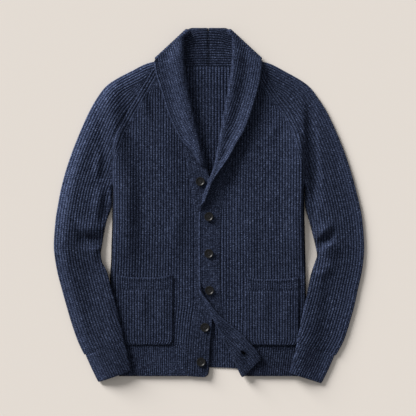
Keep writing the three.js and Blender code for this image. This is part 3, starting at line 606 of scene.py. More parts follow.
def front_section(half, y, rib, border, full, halves):
    """A row across a front: its rolled side, the border and the ribs, as two faces and rib numbers."""
    fine = COLUMNS_A_RIB // 2
    steps = np.arange(1, border * fine + 1) / fine
    ribs = np.arange(0, halves * fine + 1) / fine
    side, sign = half.side(y), half.sign
    width = abs(half.neck(y) - side) - SEAM_GAP / 2
    curl = curl_at(y)
    gap = SEAM_GAP / 2 * (1 - curl)
    edge = curled_edge(curl, np.linspace(0, 1, EDGE_STEPS))
    flat = edge.reach[-1] + gap
    slant = RAGLAN_BORDER * smooth(96, 140, y) * min(border, 1)
    start = min(flat + slant, width)
    shifted = abs(half.side(UNDERARM_Y) - side) if y > UNDERARM_Y else 0
    run = full if y > UNDERARM_Y else abs(side - half.rib_end(y))
    rolled = np.minimum(edge.reach + gap, width)
    bordered = flat + (start - flat) * steps / max(border, 1)
    ribbed = np.clip(run * ribs / halves - shifted, start, width)
    reach = np.concatenate([rolled, bordered, ribbed, [width]])
    u = np.concatenate([rolled * 0, steps / 2, ribs / 2, [halves / 2]])
    relief = rib_relief(u, 0 if slant > 1 else flat, width, reach, rib)
    relief = relief * worn_edge(np.abs(reach - start), 0.7, 1.6) if slant > 1 else relief
    relief[:EDGE_STEPS] = 0
    rest = np.zeros(len(reach) - EDGE_STEPS)
    drop = np.concatenate([edge.drop, rest])
    lean = np.concatenate([edge.lean, rest]) * sign
    rise = np.concatenate([edge.rise, rest + 1])
    x = side - sign * reach
    z = half.level(x, y) - drop
    ends = np.minimum(reach + EDGE_WIDTH * curl, width - reach)
    thick = HALF * worn_edge(ends) + relief
    outer = np.stack([x + lean * thick, x * 0 + y, z + rise * thick], 1)
    inner = np.stack([x - lean * HALF, x * 0 + y, z - rise * HALF], 1)
    return outer, inner, u


def back_panel(heights, rib):
    """The back or its welt, ribbed on the face that the neck and the hem show."""
    steps = COLUMNS_A_RIB // 2 * 2 * math.ceil(abs(RIGHT.side(0)) / rib.pitch)
    sections = [back_section(row, rib, steps) for row in heights]
    outer, inner, across = zip(*sections)
    return Wall(outer, inner, across, rib.pitch)


def back_section(row, rib, steps):
    """A row across the back between its rolled sides, as two faces and rib numbers."""
    fine = COLUMNS_A_RIB // 2
    sag = BACK_HEM_DROP * (1 - smooth(BACK_WELT_TOP_Y, -120, row))
    low = row - sag * 1.15
    curl = curl_at(row)
    gap = SEAM_GAP / 2 * (1 - curl)
    edge = curled_edge(curl, np.linspace(0, 1, EDGE_STEPS))
    left = RIGHT.side(low) + edge.reach + gap
    right = LEFT.side(low) - edge.reach - gap
    ribs = CENTRE + np.arange(-steps, steps + 1) / fine * rib.pitch / 2
    x = np.concatenate([left, np.clip(ribs, left[-1], right[-1]), right[::-1]])
    flat = np.zeros(len(ribs))
    drop = np.concatenate([edge.drop, flat, edge.drop[::-1]])
    lean = np.concatenate([-edge.lean, flat, edge.lean[::-1]])
    rise = np.concatenate([edge.rise, flat + 1, edge.rise[::-1]])
    u = np.concatenate([left * 0, np.arange(-steps, steps + 1) / fine / 2, right * 0])
    relief = rib_relief(u, left[-1], right[-1], x, rib)
    relief[:EDGE_STEPS] = 0
    relief[-EDGE_STEPS:] = 0
    y = row - sag * np.minimum(((x - CENTRE) / 200) ** 2, 1.15)
    z = BACK_MID + neck_lift(x, y) + drop
    thick = HALF + relief
    outer = np.stack([x + lean * thick, y, z + rise * thick], 1)
    inner = np.stack([x - lean * HALF, y, z - rise * HALF], 1)
    return outer, inner, u


class SleeveSection:
    """A row across a sleeve or cuff: its under side, its outer fold and its upper side."""

    def __init__(self, half, station, rib, ribs, curls):
        self.half, self.rib = half, rib
        self.span = station_width(station)
        self.dx = (station.inner_x - station.outer_x) / self.span
        self.dy = (station.inner_y - station.outer_y) / self.span
        self.curl = curl_at(station.inner_y) if curls else 1
        gap = SEAM_GAP * (1 - self.curl)
        seam = curled_edge(self.curl, np.linspace(0, 1, SLEEVE_EDGE_STEPS))
        self.first = HALF + FOLD_RADIUS
        self.last = max(self.span - seam.reach[-1] - gap, self.first + 0.01)
        turned = np.maximum(self.span - seam.reach - gap, self.last)
        angle = np.linspace(0, np.pi / 2, FOLD_STEPS)
        rounded = self.first - FOLD_RADIUS * np.sin(angle)
        under = np.linspace(self.last, self.first, UNDER_STEPS)
        top = np.minimum(self.first + ribs * rib.pitch / 2, self.last)

        def both(edge, flat, fold):
            """Values down the under side, round the fold and up the upper side."""
            return np.concatenate([edge, under * 0 + flat, fold, fold[::-1], top * 0 + flat, edge[::-1]])

        self.reach = np.concatenate([turned, under, rounded, rounded[::-1], top, turned[::-1]])
        self.drop = both(seam.drop, 0, FOLD_RADIUS * (1 - np.cos(angle)))
        self.lean = both(seam.lean, 0, -np.sin(angle))
        self.rise = both(seam.rise, 1, np.cos(angle))
        self.upper = np.arange(len(self.reach)) >= len(turned) + UNDER_STEPS + FOLD_STEPS
        self.rest = np.maximum(self.span - self.reach, 0)
        self.x = station.outer_x + self.dx * self.reach
        self.y = station.outer_y + self.dy * self.reach

    def rib_number(self):
        """Ribs are counted from the outer fold, and a little closer round it."""
        inside = (self.reach - self.first) / self.rib.pitch
        beyond = -(self.first - self.reach) * 1.4 / self.rib.pitch
        return np.where(self.reach < self.first, beyond, inside)

    def faces(self):
        """Points of the face that shows and of the hidden one."""
        relief = rib_relief(self.rib_number(), -9, self.last, self.reach, self.rib)
        relief = relief * np.where(self.upper, 1, 0.35)
        from_edge = np.where(self.curl > 0.5, self.reach * 0 + EDGE_WIDTH, self.last - self.reach)
        return [self.face(HALF * worn_edge(from_edge) + relief), self.face(self.reach * 0 - HALF)]

    def face(self, offset):
        ply = np.where(self.upper, 1.0, -1.0)
        z = FOLD_MID + ply * (FOLD_RADIUS - self.drop + self.rise * offset) + self.lift()
        x = self.x + self.dx * self.lean * offset
        y = self.y + self.dy * self.lean * offset
        return np.stack([x, y, z], 1)

    def lift(self):
        """The sleeve rises over the front's side and the collar, and its upper side stands proud."""
        rises = table(RISE_COLUMNS, SLEEVE_RISE)
        into = self.half.sign * (self.half.side(np.clip(self.y, HEM_Y, -60)) - self.x)
        slope = np.clip(into / RISE_LENGTH + 1, 0, 1)
        lift = along(rises, self.y, "height") * slope + neck_lift(self.x, self.y)
        return lift + np.where(self.upper, self.swell(), 0)

    def swell(self):
        """How far the upper side stands proud, fullest on the side that faces the light."""
        near, far = (self.reach, self.rest) if self.half is RIGHT else (self.rest, self.reach)
        full = SLEEVE_PUFF * (1 - 0.7 * smooth(150, 280, self.y)) * (1 - 0.15 * smooth(-100, -160, self.y))
        full = full * (1 - self.half.look.low_fall * smooth(-130, -220, self.y))
        return full * smooth(0, 32, near) * smooth(0, 100, far)

    def strength(self):
        """The grooves' painted shade fades at the outer fold, where painted light pales the yarn; painted
        light brightens the upper sleeve and painted shade darkens it towards the cuff.
        """
        look = self.half.look
        worn = 1 - smooth(4, 36, self.reach)
        low = smooth(20, -120, self.y)
        tone = (1 + look.fold_gain * worn) * (look.sleeve_top - look.sleeve_drop * low)
        return np.stack([1 - 0.6 * worn, tone], 1)

    def held(self):
        """Only the upper side follows the soft folds, away from its fold and its rolled edge."""
        held = smooth(0, 16, self.reach) * (1 - curl_at(self.y) * (1 - smooth(0, 14, self.rest)))
        return np.where(self.upper, held, 0)

    def room(self):
        """The upper side may sink to just above the under side."""
        return np.where(self.upper, SINK_ROOM + self.swell(), 0)


def station_width(station):
    return math.hypot(station.inner_x - station.outer_x, station.inner_y - station.outer_y)


def sleeve(half, stations, rib, curls):
    """A sleeve or cuff, folded round from the inner edge, round the outer fold and back."""
    fine = COLUMNS_A_RIB // 2
    halves = 2 * math.ceil(max(station_width(station) for station in stations) / rib.pitch)
    ribs = np.arange(0, halves * fine + 1) / fine
    sections = [SleeveSection(half, station, rib, ribs, curls) for station in stations]
    outer, inner = zip(*(section.faces() for section in sections))
    across = [section.rib_number() for section in sections]
    wall = Wall(outer, inner, across, rib.pitch, [section.strength() for section in sections])
    wall.held = np.array([section.held() for section in sections])
    wall.room = np.array([section.room() for section in sections])
    return wall


def unit(vector):
    vector = np.asarray(vector, float)
    return vector / np.linalg.norm(vector)


def flat_points(points, z):
    return np.column_stack([points, np.broadcast_to(z, len(points))])


class StripRow:
    """A section across a collar and band strip: stand, roll and fall."""

    def __init__(self, half, row, before, after):
        self.half, self.row = half, row
        self.turn = math.radians(row.turn)
        self.folded = row.turn == 180
        self.set_softness()
        self.set_painted_light()
        self.set_places(before, after)

    def set_softness(self):
        """The roll is fullest at the chest, and the lapel and the turned-back corner lift at their edges."""
        y, look = self.row.y, self.half.look
        puff = (0.5 + 0.5 * float(smooth(-200, 60, y))) * (1 - 0.4 * float(smooth(287, 313, y)))
        self.radius = (NEXT_LAYER + look.roll_puff * puff) / 2 if self.folded else OPEN_ROLL_RADIUS
        self.puff_length = look.puff_length
        self.loft = look.lapel_loft * float(smooth(30, 80, y)) * (1 - 0.55 * float(smooth(130, 290, y)))
        self.loft += FLAP_LOFT * float(smooth(-195, -262, y))
        self.rim = look.rim

    def set_painted_light(self):
        """Grooves are faint on the band; painted shade darkens the stand and the lower band, and painted
        light makes the lapel the lightest part.
        """
        look = self.half.look
        low = float(smooth(-230, -320, self.row.y))
        high = float(smooth(60, 110, self.row.y))
        tone = BAND_PAINTED_SHADE - look.band_drop * low + look.lapel_gain * high
        self.strength = ((0.25 + 0.45 * low, 0.71 - 0.07 * low), (0.8, tone))

    def set_places(self, before, after):
        """Seam, start of the roll and edge, with the roll's bulge square to the line of the strip."""
        half, row = self.half, self.row
        sign = half.sign
        self.seam = np.array([half.neck(row.y) - sign * SEAM_GAP / 2, row.y])
        tangent = unit([after.roll_x - before.roll_x, after.roll_y - before.roll_y])
        if row.turn == 0 and row.y < -360:
            tangent = np.array([0.0, -1.0])
        self.bulge = np.array([tangent[1], -tangent[0]]) * sign * np.sign(-tangent[1])
        tip = self.radius * math.sin(min(self.turn, math.pi / 2)) + (HALF if row.turn > 0 else 0)
        far = self.radius * math.sin(self.turn) + EDGE_WIDTH * math.cos(self.turn)
        inset = tip if self.folded else max(tip, far)
        self.start = np.array([row.roll_x, row.roll_y]) - self.bulge * inset
        self.start_z = float(half.level(*self.start))
        self.edge = np.array([row.edge_x, row.edge_y], float)
        self.stand_length = float(np.linalg.norm(self.start - self.seam))
        self.fall_length = float(np.linalg.norm(self.edge - self.start)) if self.folded else EDGE_WIDTH

    def stand(self, distance):
        p = self.seam + (self.start - self.seam) * (distance / self.stand_length)[:, None]
        facing = np.tile([0.0, 0.0, -1.0], (len(p), 1))
        return Place(flat_points(p, self.half.level(p[:, 0], p[:, 1])), facing)

    def roll(self, part):
        angle = self.turn * part
        p = self.start + self.bulge * (self.radius * np.sin(angle))[:, None]
        facing = np.column_stack([self.bulge * np.sin(angle)[:, None], -np.cos(angle)])
        return Place(flat_points(p, self.start_z + self.radius * (1 - np.cos(angle))), facing)

    def fall(self, from_edge):
        distance = self.fall_length - from_edge
        if not self.folded:
            end = self.roll(np.array([1.0]))
            out = np.array([*(self.bulge * math.cos(self.turn)), math.sin(self.turn)])
            return Place(end.at + distance[:, None] * out, np.repeat(end.facing, len(distance), 0))
        p = self.start + (self.edge - self.start) * (distance / self.fall_length)[:, None]
        x, y = p[:, 0], p[:, 1]
        puff = 2 * self.radius - NEXT_LAYER
        share = smooth(0, 12, distance)
        z = self.start_z * (1 - share) + self.half.level(x, y) * share + NEXT_LAYER
        near_roll = 1 - smooth(0, self.puff_length, distance)
        lifted = smooth(0.3, 0.95, distance / self.fall_length)
        z = z + puff * near_roll * (1 - lifted) + self.loft * lifted
        if self.half is LEFT:
            over = smooth(48, 72, x) * (1 - smooth(-322, -345, y)) * smooth(-240, -262, y)
            z = z + NEXT_LAYER * over * (x > 0)
        return Place(flat_points(p, z), np.tile([0.0, 0.0, 1.0], (len(p), 1)))


class CollarRow:
    """A section of the collar's back or corner, whose fall lies under or over its stand."""

    def __init__(self, seam, start, fall_start, edge, stand_z, fall_z, facing, bulge):
        self.seam, self.start, self.fall_start, self.edge = seam, start, fall_start, edge
        self.stand_z, self.fall_z = stand_z, fall_z
        self.facing = np.array(facing, float)
        # Depth and tone of stand and fall; the stand's tone of 0.85 is painted shade
        self.strength = ((1.0, 0.85), (0.8, 1.0))
        self.rim = RIM_HEIGHT * max(-self.facing[2], 0.0)
        self.bulge = unit([*bulge, 0])
        self.stand_length = float(np.linalg.norm(start - seam))
        self.fall_length = float(np.linalg.norm(edge - fall_start))

    def stand(self, distance):
        p = self.seam + (self.start - self.seam) * (distance / self.stand_length)[:, None]
        z = self.stand_z(self.stand_length - distance)
        return Place(flat_points(p, z), np.tile(self.facing, (len(p), 1)))

    def roll(self, part):
        angle = np.pi * part[:, None]
        zero = np.zeros(1)
        first = np.array([*self.start, float(self.stand_z(zero)[0])])
        last = np.array([*self.fall_start, float(self.fall_z(zero)[0])])
        middle, arm = (first + last) / 2, (first - last) / 2
        spoke = arm * np.cos(angle) + self.bulge * (np.linalg.norm(arm) * np.sin(angle))
        return Place(middle + spoke, spoke / np.linalg.norm(spoke, axis=1)[:, None])

    def fall(self, from_edge):
        distance = self.fall_length - from_edge
        p = self.fall_start + (self.edge - self.fall_start) * (distance / self.fall_length)[:, None]
        return Place(flat_points(p, self.fall_z(distance)), np.tile(-self.facing, (len(p), 1)))


def puff_near(distance, height):
    return height * (1 - smooth(0, PUFF_LENGTH, distance))


def back_row(half, row):
    """A section of the back collar: the stand faces up and the fall lies under it."""
    def out(value):
        return CENTRE + half.sign * (value + SEAM_GAP / 2)

    puff = row.puff * 0.8
    radius = (NECK_LIFT + puff) / 2
    roll_y = COLLAR_TOP_Y - radius - HALF
    start = np.array([out(row.roll_x), roll_y])
    return CollarRow(
        np.array([out(row.neck_x), NECK_SEAM_Y + SEAM_GAP]),
        start,
        start,
        np.array([out(row.edge_x), row.edge_y]),
        lambda distance: BACK_MID + NECK_LIFT + puff_near(distance, puff),
        lambda distance: BACK_MID + distance * 0,
        (0, 0, 1),
        (0, 1),
    )


def corner_row(half, turn):
    """A section at the collar's corner, turned about the crease."""
    angle = math.radians(turn)
    side, up = math.cos(angle), math.sin(angle)
    out = np.array([half.sign * CORNER_OUT[0], CORNER_OUT[1]])

    def point(place):
        return np.array([CENTRE + half.sign * place[0], place[1]])

    stand_mid = (BACK_MID + FRONT_MID) / 2 + NECK_LIFT
    top = FRONT_MID + NEXT_LAYER + NECK_LIFT
    radius, middle = (top - BACK_MID) / 2, (top + BACK_MID) / 2
    share = (turn + 90) / 180
    edge_axis = point(CORNER_LOW_EDGE) * (1 - share) + point(CORNER_TOP_EDGE) * share
    low, high = max(-up, 0), max(up, 0)
    return CollarRow(
        point(CORNER_NECK) + out * FOLD_RADIUS * side,
        point(CORNER_ROLL) + out * FOLD_RADIUS * side,
        point(CORNER_ROLL) + out * radius * side,
        edge_axis + out * radius * side,
        lambda distance: stand_mid + FOLD_RADIUS * up + puff_near(distance, 0.8 * CORNER_PUFF * low),
        lambda distance: middle + radius * up + puff_near(distance, CORNER_PUFF * high),
        (-out[0] * side, -out[1] * side, -up),
        (half.sign * np.interp(turn, BULGE_TURNS, BULGE_X), np.interp(turn, BULGE_TURNS, BULGE_Y)),
    )


def strip(half, rows, rib):
    """Collar and band of one side in one strip, from the centre back to the hem."""
    sections = [back_row(half, row) for row in table(BACK_COLLAR_COLUMNS, BACK_COLLAR)]
    sections += [corner_row(half, turn) for turn in CORNER_TURNS]
    last = len(rows) - 1
    for j, row in enumerate(rows):
        sections.append(StripRow(half, row, rows[max(j - 1, 0)], rows[min(j + 1, last)]))
    step = rib.pitch / COLUMNS_A_RIB
    stand_steps = np.arange(math.ceil(max(s.stand_length for s in sections) / step) + 1) * step
    fall_steps = np.arange(math.ceil(max(s.fall_length for s in sections) / step) + 1)[::-1] * step
    walls = [strip_section(section, stand_steps, fall_steps, rib) for section in sections]
    outer, inner, across, strengths = zip(*walls)
    return Wall(outer, inner, across, rib.pitch, strengths)


def strip_section(section, stand_steps, fall_steps, rib):
    """A row across the strip over stand, roll and fall: two faces, rib numbers and strengths."""
    stand = np.minimum(stand_steps, section.stand_length)
    fall = np.minimum(fall_steps, section.fall_length)
    parts = np.linspace(0, 1, ROLL_STEPS)[1:-1]
    places = [section.stand(stand), section.roll(parts), section.fall(fall)]
    at = np.concatenate([place.at for place in places])
    facing = np.concatenate([place.facing for place in places])
    roll_run = section.stand_length + parts * ROLL_RUN
    u_stand, u_fall = stand_steps / rib.pitch, fall_steps / rib.pitch
    relief_stand = rib_relief(u_stand, -9, section.stand_length, stand, rib)
    relief_roll = rib_relief(roll_run / rib.pitch, 0, 999, roll_run, rib)
    relief_fall = rib_relief(u_fall, -9, section.fall_length, fall, rib)
    low, high = np.array(section.strength)
    share = np.concatenate([stand * 0, parts, fall * 0 + 1])[:, None]
    strength = low + (high - low) * share
    relief = np.concatenate([relief_stand, relief_roll, relief_fall]) * strength[:, 0]
    ends = np.concatenate([stand, parts * 0 + EDGE_WIDTH, fall])
    rim = section.rim * np.exp(-(((ends - RIM_PLACE) / RIM_WIDTH) ** 2))
    rim = rim * (np.arange(len(ends)) > len(stand))
    thick = (HALF * worn_edge(ends) + relief + rim)[:, None]
    u = np.concatenate([u_stand, roll_run / rib.pitch, u_fall])
    return at + facing * thick, at - facing * thick, u, strength


def patch(half, x_at, y_at, width, rows, rib, lip=0.0):
    """A pocket patch or its welt, laid on the front's ribs."""
    count = COLUMNS_A_RIB * round(width / rib.pitch)
    share = np.arange(count + 1) / count
    u = np.arange(count + 1) / COLUMNS_A_RIB
    outer, inner, across = [], [], []
    for v in rows:
        x, y = x_at(share, v), y_at(share, v)
        z = half.level(x, y) + NEXT_LAYER + lip * math.exp(-((v / 0.16) ** 2))
        room = np.minimum(share, 1 - share) * width
        relief = rib_relief(u, 0, width, share * width, rib)
        if lip:
            relief = relief * smooth(0, 0.12, v) - lip * math.exp(-((v / 0.06) ** 2))
        outer.append(np.stack([x, y, z + HALF * worn_edge(room, 0.8, 2.6) + relief], 1))
        inner.append(np.stack([x, y, z - HALF], 1))
        across.append(u)
    return Wall(outer, inner, across, rib.pitch)


def pocket_body(half, pocket, rib):
    """The pocket's patch, with its two lower corners rounded."""
    width = abs(pocket.outer - pocket.inner)
    middle = (pocket.outer + pocket.inner) / 2
    top = pocket.welt_end - SEAM_GAP
    height = top - pocket.bottom

    def cut(v):
        into = max(v * height - (height - POCKET_CORNER), 0)
        return POCKET_CORNER - math.sqrt(max(POCKET_CORNER ** 2 - into ** 2, 0))

    def x_at(u, v):
        return middle + (u - 0.5) * (width - 1.4 * cut(v)) * half.sign

    def y_at(u, v):
        return top - v * height + u * 0

    rows = [*np.linspace(0, 0.85, 8), 0.89, 0.92, 0.945, 0.965, 0.98, 0.99, 1.0]
    return patch(half, x_at, y_at, width, rows, rib)


def pocket_welt(half, pocket, rib):
    """The welt along the pocket's mouth, which sags between its ends."""
    width = abs(pocket.outer - pocket.inner)
    middle = (pocket.outer + pocket.inner) / 2

    def x_at(u, v):
        return middle + (u - 0.5) * width * half.sign

    def y_at(u, v):
        top = pocket.top + pocket.lift * np.abs(2 * u - 1) ** 3
        return top * (1 - v) + pocket.welt_end * v

    return patch(half, x_at, y_at, width, [0, 0.05, 0.12, 0.22, 0.35, 0.6, 0.8, 1], rib, 3.0)


def wall_triangles(wall):
    """A closed mesh's triangles over both faces and their rims, by the points' numbers."""
    rows, columns = wall.across.shape
    outer = np.arange(rows * columns).reshape(rows, columns)
    inner = outer + rows * columns
    quads = [face_quads(outer), face_quads(inner)[:, ::-1]]
    rims = [(outer[0], inner[0]), (outer[-1][::-1], inner[-1][::-1])]
    rims += [(outer[::-1, 0], inner[::-1, 0]), (outer[:, -1], inner[:, -1])]
    for top, low in rims:
        quads.append(np.stack([top[:-1], low[:-1], low[1:], top[1:]], -1))
    quads = np.concatenate(quads)
    return np.concatenate([quads[:, [0, 1, 2]], quads[:, [0, 2, 3]]])


def face_quads(number):
    corners = [number[:-1, :-1], number[:-1, 1:], number[1:, 1:], number[1:, :-1]]
    return np.stack(corners, -1).reshape(-1, 4)


def merge_points(points, corners):
    """Merges points that meet, drops triangles without area and turns the rest outwards."""
    _, first, merged = np.unique(np.round(points, 2), axis=0, return_index=True, return_inverse=True)
    solid = merged.ravel()[corners]
    kept = (solid[:, 0] != solid[:, 1]) & (solid[:, 1] != solid[:, 2]) & (solid[:, 2] != solid[:, 0])
    corners, solid = corners[kept], solid[kept]
    places = points[first] * MM
    p, q, r = (places[solid[:, k]] for k in range(3))
    if float((p * np.cross(q, r)).sum()) < 0:
        corners, solid = corners[:, ::-1], solid[:, ::-1]
    return places, np.ascontiguousarray(corners), np.ascontiguousarray(solid)


def cloth_piece(name, wall, material):
    """Makes the closed mesh of a wall in metres, with rib coordinates and the strength of painted light and
    shade as UV maps.
    """
    points = np.concatenate([wall.outer.reshape(-1, 3), wall.inner.reshape(-1, 3)])
    points[:, 2] = np.maximum(points[:, 2], 0)
    places, corners, solid = merge_points(points, wall_triangles(wall))
    mesh = bpy.data.meshes.new(name)
    mesh.vertices.add(len(places))
    mesh.vertices.foreach_set("co", places.ravel())
    mesh.loops.add(solid.size)
    mesh.loops.foreach_set("vertex_index", solid.ravel())
    mesh.polygons.add(len(solid))
    mesh.polygons.foreach_set("loop_start", np.arange(len(solid)) * 3)
    ribs = np.stack([wall.across, wall.down], -1)
    for layer_name, values in (("ribs", ribs), ("rib_depth", wall.strength)):
        values = np.concatenate([values.reshape(-1, 2)] * 2)
        layer = mesh.uv_layers.new(name=layer_name)
        layer.data.foreach_set("uv", values[corners.ravel()].ravel())
    mesh.update()
    mesh.validate()
    piece = bpy.data.objects.new(name, mesh)
    bpy.context.collection.objects.link(piece)
    mesh.materials.append(material)
    select_only(piece)
    bpy.ops.object.shade_smooth_by_angle(angle=math.radians(55))
    return piece


def select_only(piece):
    """Selects one piece and makes it the active one."""
    bpy.ops.object.select_all(action="DESELECT")
    piece.select_set(True)
    bpy.context.view_layer.objects.active = piece


def dress(piece, node):
    """The piece stands for a node and rides on the body."""
    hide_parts(node)
    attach(piece, "root")


class Value:
    """A number socket in a material, with arithmetic that adds its Math nodes."""

    def __init__(self, maker, socket):
        self.maker, self.socket = maker, socket

    def join(self, operation, first, second=None):
        values = [first] if second is None else [first, second]
        return self.maker.number(operation, *values)

    def __add__(self, other):
        return self.join("ADD", self, other)

    def __radd__(self, other):
        return self.join("ADD", other, self)

    def __sub__(self, other):
        return self.join("SUBTRACT", self, other)

    def __rsub__(self, other):
        return self.join("SUBTRACT", other, self)

    def __mul__(self, other):
        return self.join("MULTIPLY", self, other)

    def __rmul__(self, other):
        return self.join("MULTIPLY", other, self)

    def __truediv__(self, other):
        return self.join("DIVIDE", self, other)

    def __pow__(self, other):
        return self.join("POWER", self, other)


class Finish:
    """A material and the one method that adds a node to it."""

    def __init__(self, name):
        self.material = bpy.data.materials.new(name)
        self.material.use_nodes = True
        self.tree = self.material.node_tree
        self.shader = self.tree.nodes["Principled BSDF"]

    def node(self, kind, settings=None, **inputs):
        made = self.tree.nodes.new(kind)
        for key, value in (settings or {}).items():
            if key == "stops":
                ramp = made.color_ramp
                while len(ramp.elements) < len(value):
                    ramp.elements.new(0.5)
                for element, (place, colour) in zip(ramp.elements, value):
                    element.position, element.color = place, (*colour, 1)
            else:
                setattr(made, key, value)
        for key, value in inputs.items():
            name = key.replace("_", " ")
            self.feed(made.inputs[int(name[1:])] if name[1:].isdigit() else made.inputs[name], value)
        return made

    def feed(self, socket, value):
        if isinstance(value, Value):
            value = value.socket
        if isinstance(value, bpy.types.NodeSocket):
            self.tree.links.new(value, socket)
        else:
            socket.default_value = value

    def number(self, operation, *values):
        made = self.node("ShaderNodeMath", {"operation": operation})
        for socket, value in zip(made.inputs, values):
            self.feed(socket, value)
        return Value(self, made.outputs[0])


def knit_finish(name, colours, stitches, painted_groove_shade):
    """Heathered rib knit: valleys darkened by painted shade, beaded ribs with painted light and shade on the
    beads, lighter flecks along the yarn, and the painted light and shade of the tone map.
    """
    make = Finish(name)
    place = make.node("ShaderNodeUVMap", {"uv_map": "ribs"})
    split = make.node("ShaderNodeSeparateXYZ", Vector=place.outputs[0])
    u, v = Value(make, split.outputs["X"]), Value(make, split.outputs["Y"])
    ridge = make.number("ABSOLUTE", make.number("SINE", u * math.pi))
    groove = (1 - ridge) ** 1.3
    lean = make.number("ABSOLUTE", make.number("SINE", u * (2 * math.pi)))
    bead = make.number("SINE", v * (2 * math.pi * stitches) + lean * 1.3) * 0.5 + 0.5
    body = make.node("ShaderNodeTexCoord").outputs["Object"]
    flecks = make.node("ShaderNodeTexNoise", Vector=body, Scale=470.0, Detail=2.0, Roughness=0.7)
    clouds = make.node("ShaderNodeTexNoise", Vector=body, Scale=110.0, Detail=2.0, Roughness=0.6)
    fleck = Value(make, flecks.outputs["Fac"])
    cloud = Value(make, clouds.outputs["Fac"])
    tone = fleck * 0.85 + cloud * 0.15
    stops = [(0.36, colours.deep), (0.5, colours.body), (0.6, colours.light), (0.7, colours.fleck)]
    ramp = make.node("ShaderNodeValToRGB", {"stops": stops}, Fac=tone)
    # Painted light and shade per point: X sets the grooves' painted shade, Y the tone
    painted_light_map = make.node("ShaderNodeUVMap", {"uv_map": "rib_depth"})
    strength = make.node("ShaderNodeSeparateXYZ", Vector=painted_light_map.outputs[0])
    depth, tone = Value(make, strength.outputs["X"]), Value(make, strength.outputs["Y"])
    # Painted shade in the grooves and on the beads, times the painted light and shade of the tone map
    shade = (1 - groove * depth * painted_groove_shade) * (bead * 0.35 + 0.8) * tone
    grey = make.node("ShaderNodeCombineXYZ", X=shade, Y=shade, Z=shade)
    times = {"operation": "MULTIPLY"}
    colour = make.node("ShaderNodeVectorMath", times, _0=ramp.outputs[0], _1=grey.outputs[0])
    height = ridge * 0.35 + bead * 0.4 + fleck * 0.6
    bump = make.node("ShaderNodeBump", Strength=0.9, Distance=0.0006, Height=height)
    shader = make.shader
    make.feed(shader.inputs["Base Color"], colour.outputs[0])
    make.feed(shader.inputs["Normal"], bump.outputs[0])
    shader.inputs["Roughness"].default_value = 0.92
    shader.inputs["Specular IOR Level"].default_value = 0.06
    shader.inputs["Sheen Weight"].default_value = 0.03
    shader.inputs["Sheen Roughness"].default_value = 0.5
    shader.inputs["Sheen Tint"].default_value = (0.4, 0.52, 0.9, 1)
    return make.material


def plain_finish(name, colour, roughness, grain):
    """A smooth finish with faint unevenness in its gloss."""
    make = Finish(name)
    body = make.node("ShaderNodeTexCoord").outputs["Object"]
    noise = make.node("ShaderNodeTexNoise", Vector=body, Scale=grain, Detail=2.0)
    rough = Value(make, noise.outputs["Fac"]) * 0.12 + (roughness - 0.06)
    make.feed(make.shader.inputs["Roughness"], rough)
    make.shader.inputs["Base Color"].default_value = (*colour, 1)
    return make.material


Colours = namedtuple("Colours", "deep body light fleck")
finishes = {}


def knit(kind, context):
    """The knit finish of a kind of rib, made once."""
    if kind not in finishes:
        shades = context.scene.cardigan_colours
        colours = Colours(shades.deep, shades.body, shades.light, shades.fleck)
        finishes[kind] = knit_finish(f"{kind}_rib_knit", colours, STITCHES[kind], GROOVE_PAINTED_SHADE[kind])
    return finishes[kind]


def rib_of(kind, context):
    """Pitch and height of a kind of rib in millimetres."""
    sizes = context.scene.cardigan_sizes
    pitch = getattr(sizes, f"{kind}_pitch") / MM
    height = getattr(sizes, f"{kind}_height") / MM
    return Rib(pitch, height)


def length(name, description, default):
    return bpy.props.FloatProperty(
        name=name, description=description, default=default, min=0.0001, unit="LENGTH", precision=4
    )


def colour(name, description, default):
    return bpy.props.FloatVectorProperty(
        name=name, description=description, default=default, subtype="COLOR", min=0.0, max=1.0
    )


class CardiganSizes(bpy.types.PropertyGroup):
    """Rib and button sizes"""

    body_pitch: length("Body rib pitch", "Distance between the ribs of fronts and sleeves", 0.0062)
    body_height: length("Body rib height", "How far those ribs stand up", 0.0008)
    back_pitch: length("Back rib pitch", "Distance between the ribs of the back", 0.007)
    back_height: length("Back rib height", "How far those ribs stand up", 0.0009)
    collar_pitch: length("Collar rib pitch", "Distance between the ribs of collar and band", 0.0057)
    collar_height: length("Collar rib height", "How far those ribs stand up", 0.0007)
    fine_pitch: length("Welt rib pitch", "Distance between the ribs of welts and cuffs", 0.0054)
    fine_height: length("Welt rib height", "How far those ribs stand up", 0.0006)
    button_radius: length("Button radius", "Half a button's width", 0.01)
    button_height: length("Button height", "A button's thickness", 0.0036)


class CardiganColours(bpy.types.PropertyGroup):
    """Yarn and button colours"""

    deep: colour("Deep yarn", "Darkest strands of the heather", (0.005, 0.0074, 0.0168))
    body: colour("Body yarn", "Main colour of the heather", (0.024, 0.032, 0.0625))
    light: colour("Light yarn", "Lighter strands of the heather", (0.0555, 0.0735, 0.1355))
    fleck: colour("Fleck", "Palest flecks of the heather", (0.155, 0.195, 0.325))
    button: colour("Button", "Colour of the buttons", (0.006, 0.006, 0.0065))


class CARDIGAN_OT_back(bpy.types.Operator):
    """Make the back panel and its welt"""

    bl_idname = "cardigan.back"
    bl_label = "Back"

    def execute(self, context):
        heights = [*RIGHT.heights(NECK_SEAM_Y, CURLED_Y), -14.5, -120, -205, BACK_WELT_TOP_Y]
        # Painted light brightens the back
        wall = back_panel(heights, rib_of("back", context)).refine(8).soften_ends().shade(BACK_PAINTED_LIGHT)
        piece = cloth_piece("knit_back_panel", wall, knit("back", context))
        dress(piece, "back_panel")
        wall = back_panel([BACK_WELT_TOP_Y - SEAM_GAP, BACK_HEM_Y], rib_of("fine", context))
        # Painted shade darkens the back welt
        wall = wall.refine(9).soften_ends().shade(WELT_PAINTED_SHADE)
        piece = cloth_piece("knit_back_welt", wall, knit("fine", context))
        dress(piece, "back_welt")
        return {"FINISHED"}


